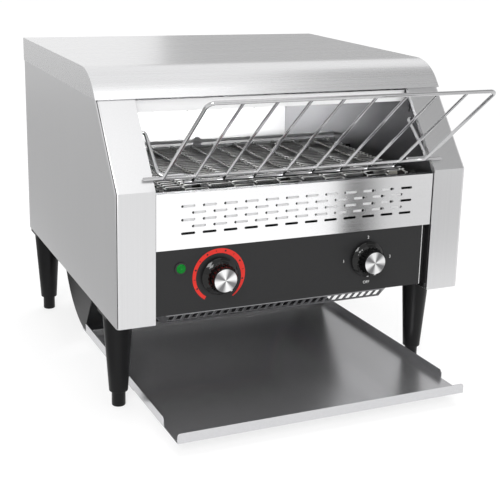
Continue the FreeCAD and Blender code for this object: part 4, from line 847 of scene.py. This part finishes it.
plain_nodes = {
    "inner_wall_left": wall_sheet, "inner_wall_right": wall_sheet, "chamber_rear_wall": rear_sheet,
    "hood_strip": satin_sheet, "upper_reflector": bright_sheet, "heat_shield": shield_sheet_painted_shade,
    "vent_panel": vent_steel, "rear_panel": level_steel, "rear_rail": level_steel, "base_pan": level_steel,
    "tray_rails": tray_steel, "drive_sprockets": dulled_steel, "idler_sprockets": dulled_steel,
    "belt_supports": dulled_steel, "colour_scale": red_print, "drive_chain": machined,
    "driven_sprocket": machined, "motor_sprocket": machined, "gear_motor": motor_paint,
    "fan_frame": inner_plastic, "speed_control": inner_plastic, "selector_switch": inner_plastic,
    "pilot_body": inner_plastic, "terminal_block": white_nylon,
}


def dress_all():
    for node, (material, sharp, edge) in smooth_nodes.items():
        smooth_piece(node, material, sharp, edge)
    for node, material in plain_nodes.items():
        mesh = frame["nodes"][node].data
        mesh.materials.clear()
        mesh.materials.append(material)
    dress_belt()
    dress_coils()
    dress_screws()
    dress_knob("colour_knob", 150.0)
    dress_knob("selector_knob", 180.0)
    dress_cap("colour_knob_cap")
    dress_cap("selector_knob_cap")
    dress_lamp()
    for text, angle, reach in (("OFF", 180.0, 31.0), ("1", -90.0, 34.0), ("2", 0.0, 28.5), ("3", 90.0, 33.0)):
        print_number(text, angle, reach)


dress_all()


# Studio: floor, reflected cards, lamps, world and camera

def rectangle(low, high):
    (x0, y0, z0), (x1, y1, z1) = low, high
    if z0 == z1:
        return [(x0, y0, z0), (x1, y0, z0), (x1, y1, z0), (x0, y1, z0)]
    return [(x0, y0, z0), (x1, y1, z0), (x1, y1, z1), (x0, y0, z1)]


def mirrored_strip(left_mm, right_mm, height):
    """The patch of the floor that the vent panel mirrors to the camera between two places on it."""
    eye = Vector(camera_place_mm)
    face_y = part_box("vent_panel")[0][1] / MM
    corners = []
    near, far = 0.4, 1.2
    for x, reach in ((left_mm, near), (right_mm, near), (right_mm, far), (left_mm, far)):
        corners.append(((x + (x - eye.x) * reach) * MM, (face_y + (eye.y - face_y) * reach) * MM, height))
    return corners


def plane(name, corners, material):
    mesh = bpy.data.meshes.new(name)
    mesh.from_pydata(corners, [], [(0, 1, 2, 3)])
    mesh.materials.append(material)
    item = bpy.data.objects.new(name, mesh)
    bpy.context.scene.collection.objects.link(item)
    return item


def grey(level):
    return (level, level, level, 1.0)


def white_seen(tree):
    """1 for the rays that should meet plain white: seen, mirrored and through glass."""
    path = add(tree, "ShaderNodeLightPath").outputs
    seen = add(tree, "ShaderNodeMath", {0: path["Is Camera Ray"], 1: path["Is Glossy Ray"]},
               operation="MAXIMUM")
    return add(tree, "ShaderNodeMath", {0: seen.outputs[0], 1: path["Is Transmission Ray"]},
               operation="MAXIMUM").outputs[0]


def floor_finish():
    """Matt white paper that keeps a soft shadow, and glows a little more further back."""
    material, tree = new_material("studio_paper")
    place = add(tree, "ShaderNodeTexCoord").outputs["Object"]
    along = add(tree, "ShaderNodeSeparateXYZ", {0: place}).outputs
    far = add(tree, "ShaderNodeMapRange", {"Value": along["Y"], "From Min": 1.2, "From Max": 3.2,
                                           "To Min": 0.72, "To Max": 0.85})
    glow = add(tree, "ShaderNodeEmission", {"Color": grey(1.0), "Strength": far.outputs[0]})
    paper = add(tree, "ShaderNodeBsdfDiffuse", {"Color": grey(0.30)})
    both = add(tree, "ShaderNodeAddShader", {0: paper.outputs[0], 1: glow.outputs[0]})
    plain = add(tree, "ShaderNodeBsdfDiffuse", {"Color": grey(0.8)})
    return finished(material, add(tree, "ShaderNodeMixShader", {0: white_seen(tree), 1: plain.outputs[0],
                                                                2: both.outputs[0]}))


def card(name, corners, level):
    """A grey card that only mirrored rays meet, as a photographer's flag."""
    material, tree = new_material(name + "_grey")
    glow = add(tree, "ShaderNodeEmission", {"Color": grey(level)})
    item = plane(name, corners, finished(material, glow))
    for ray in ("camera", "diffuse", "shadow", "transmission", "volume_scatter"):
        setattr(item, "visible_" + ray, False)


def lamp(name, place, target, size, watts, mirrored=True, size_y=None):
    data = bpy.data.lights.new(name, "AREA")
    data.energy = watts
    data.shape = "RECTANGLE"
    data.size = size
    data.size_y = size_y or size
    item = bpy.data.objects.new(name, data)
    item.location = place
    item.rotation_mode = "QUATERNION"
    item.rotation_quaternion = (Vector(target) - Vector(place)).to_track_quat("-Z", "Y")
    item.visible_camera = False
    item.visible_glossy = mirrored
    bpy.context.scene.collection.objects.link(item)


def set_world():
    world = bpy.data.worlds.new("studio")
    bpy.context.scene.world = world
    world.use_nodes = True
    tree = world.node_tree
    tree.nodes.clear()
    white = add(tree, "ShaderNodeBackground", {"Color": grey(1.0), "Strength": 1.0})
    fill = add(tree, "ShaderNodeBackground", {"Color": grey(1.0), "Strength": 0.62})
    mix = add(tree, "ShaderNodeMixShader", {0: white_seen(tree), 1: fill.outputs[0], 2: white.outputs[0]})
    add(tree, "ShaderNodeOutputWorld", {"Surface": mix.outputs[0]})


def set_camera():
    yaw = math.radians(camera_yaw)
    pitch = math.radians(camera_pitch)
    roll = math.radians(camera_roll)
    ahead = Vector((math.sin(yaw) * math.cos(pitch), math.cos(yaw) * math.cos(pitch), -math.sin(pitch)))
    level = Vector((math.cos(yaw), -math.sin(yaw), 0))
    above = level.cross(ahead)
    right = math.cos(roll) * level + math.sin(roll) * above
    up = -math.sin(roll) * level + math.cos(roll) * above
    data = bpy.data.cameras.new("camera")
    data.sensor_width = sensor_mm
    data.lens = focal_pixels / frame_pixels * sensor_mm
    data.shift_x = (frame_pixels / 2 - centre_column) / frame_pixels
    data.shift_y = (centre_row - frame_pixels / 2) / frame_pixels
    data.clip_start = 0.05
    data.clip_end = 50.0
    item = bpy.data.objects.new("camera", data)
    bpy.context.scene.collection.objects.link(item)
    turn = Matrix((right, up, -ahead)).transposed().to_4x4()
    item.matrix_world = Matrix.Translation(Vector(camera_place_mm) * MM) @ turn
    bpy.context.scene.camera = item


plane("studio_floor", rectangle((-7.0, -7.0, -0.0002), (7.0, 7.0, -0.0002)), floor_finish())
card("card_left_floor", rectangle((-2.2, -0.2, 0.001), (-0.30, 2.6, 0.001)), 0.56)
card("card_left_floor_far", rectangle((-3.6, 2.6, 0.001), (-0.30, 6.0, 0.001)), 0.64)
card("card_right_floor", mirrored_strip(108.0, 400.0, 0.001), 0.72)
card("card_grey_strip", mirrored_strip(88.0, 108.0, 0.001), 0.36)
card("card_dark_strip", mirrored_strip(53.0, 88.0, 0.001), 0.05)
card("card_overhead", rectangle((0.60, -1.6, 1.6), (2.6, 0.4, 1.6)), 0.52)
card("card_overhead_left", rectangle((-0.3, -1.3, 1.6), (0.50, -0.4, 1.6)), 1.5)
card("card_behind", rectangle((0.9, 3.0, 0.3), (3.4, 3.0, 1.8)), 0.46)
lamp("softbox_front", (-1.5, -2.4, 2.0), (0, -0.1, 0.2), 1.3, 55.0)
lamp("softbox_top", (0.3, 0.2, 2.6), (0, 0, 0.2), 2.2, 45.0, mirrored=False)
lamp("chamber_lamp", (0.0, 0.17, 0.371), (0.0, 0.30, 0.25), 0.34, 1.6, mirrored=False, size_y=0.10)
set_world()
set_camera()
bpy.context.scene.view_settings.view_transform = "Standard"
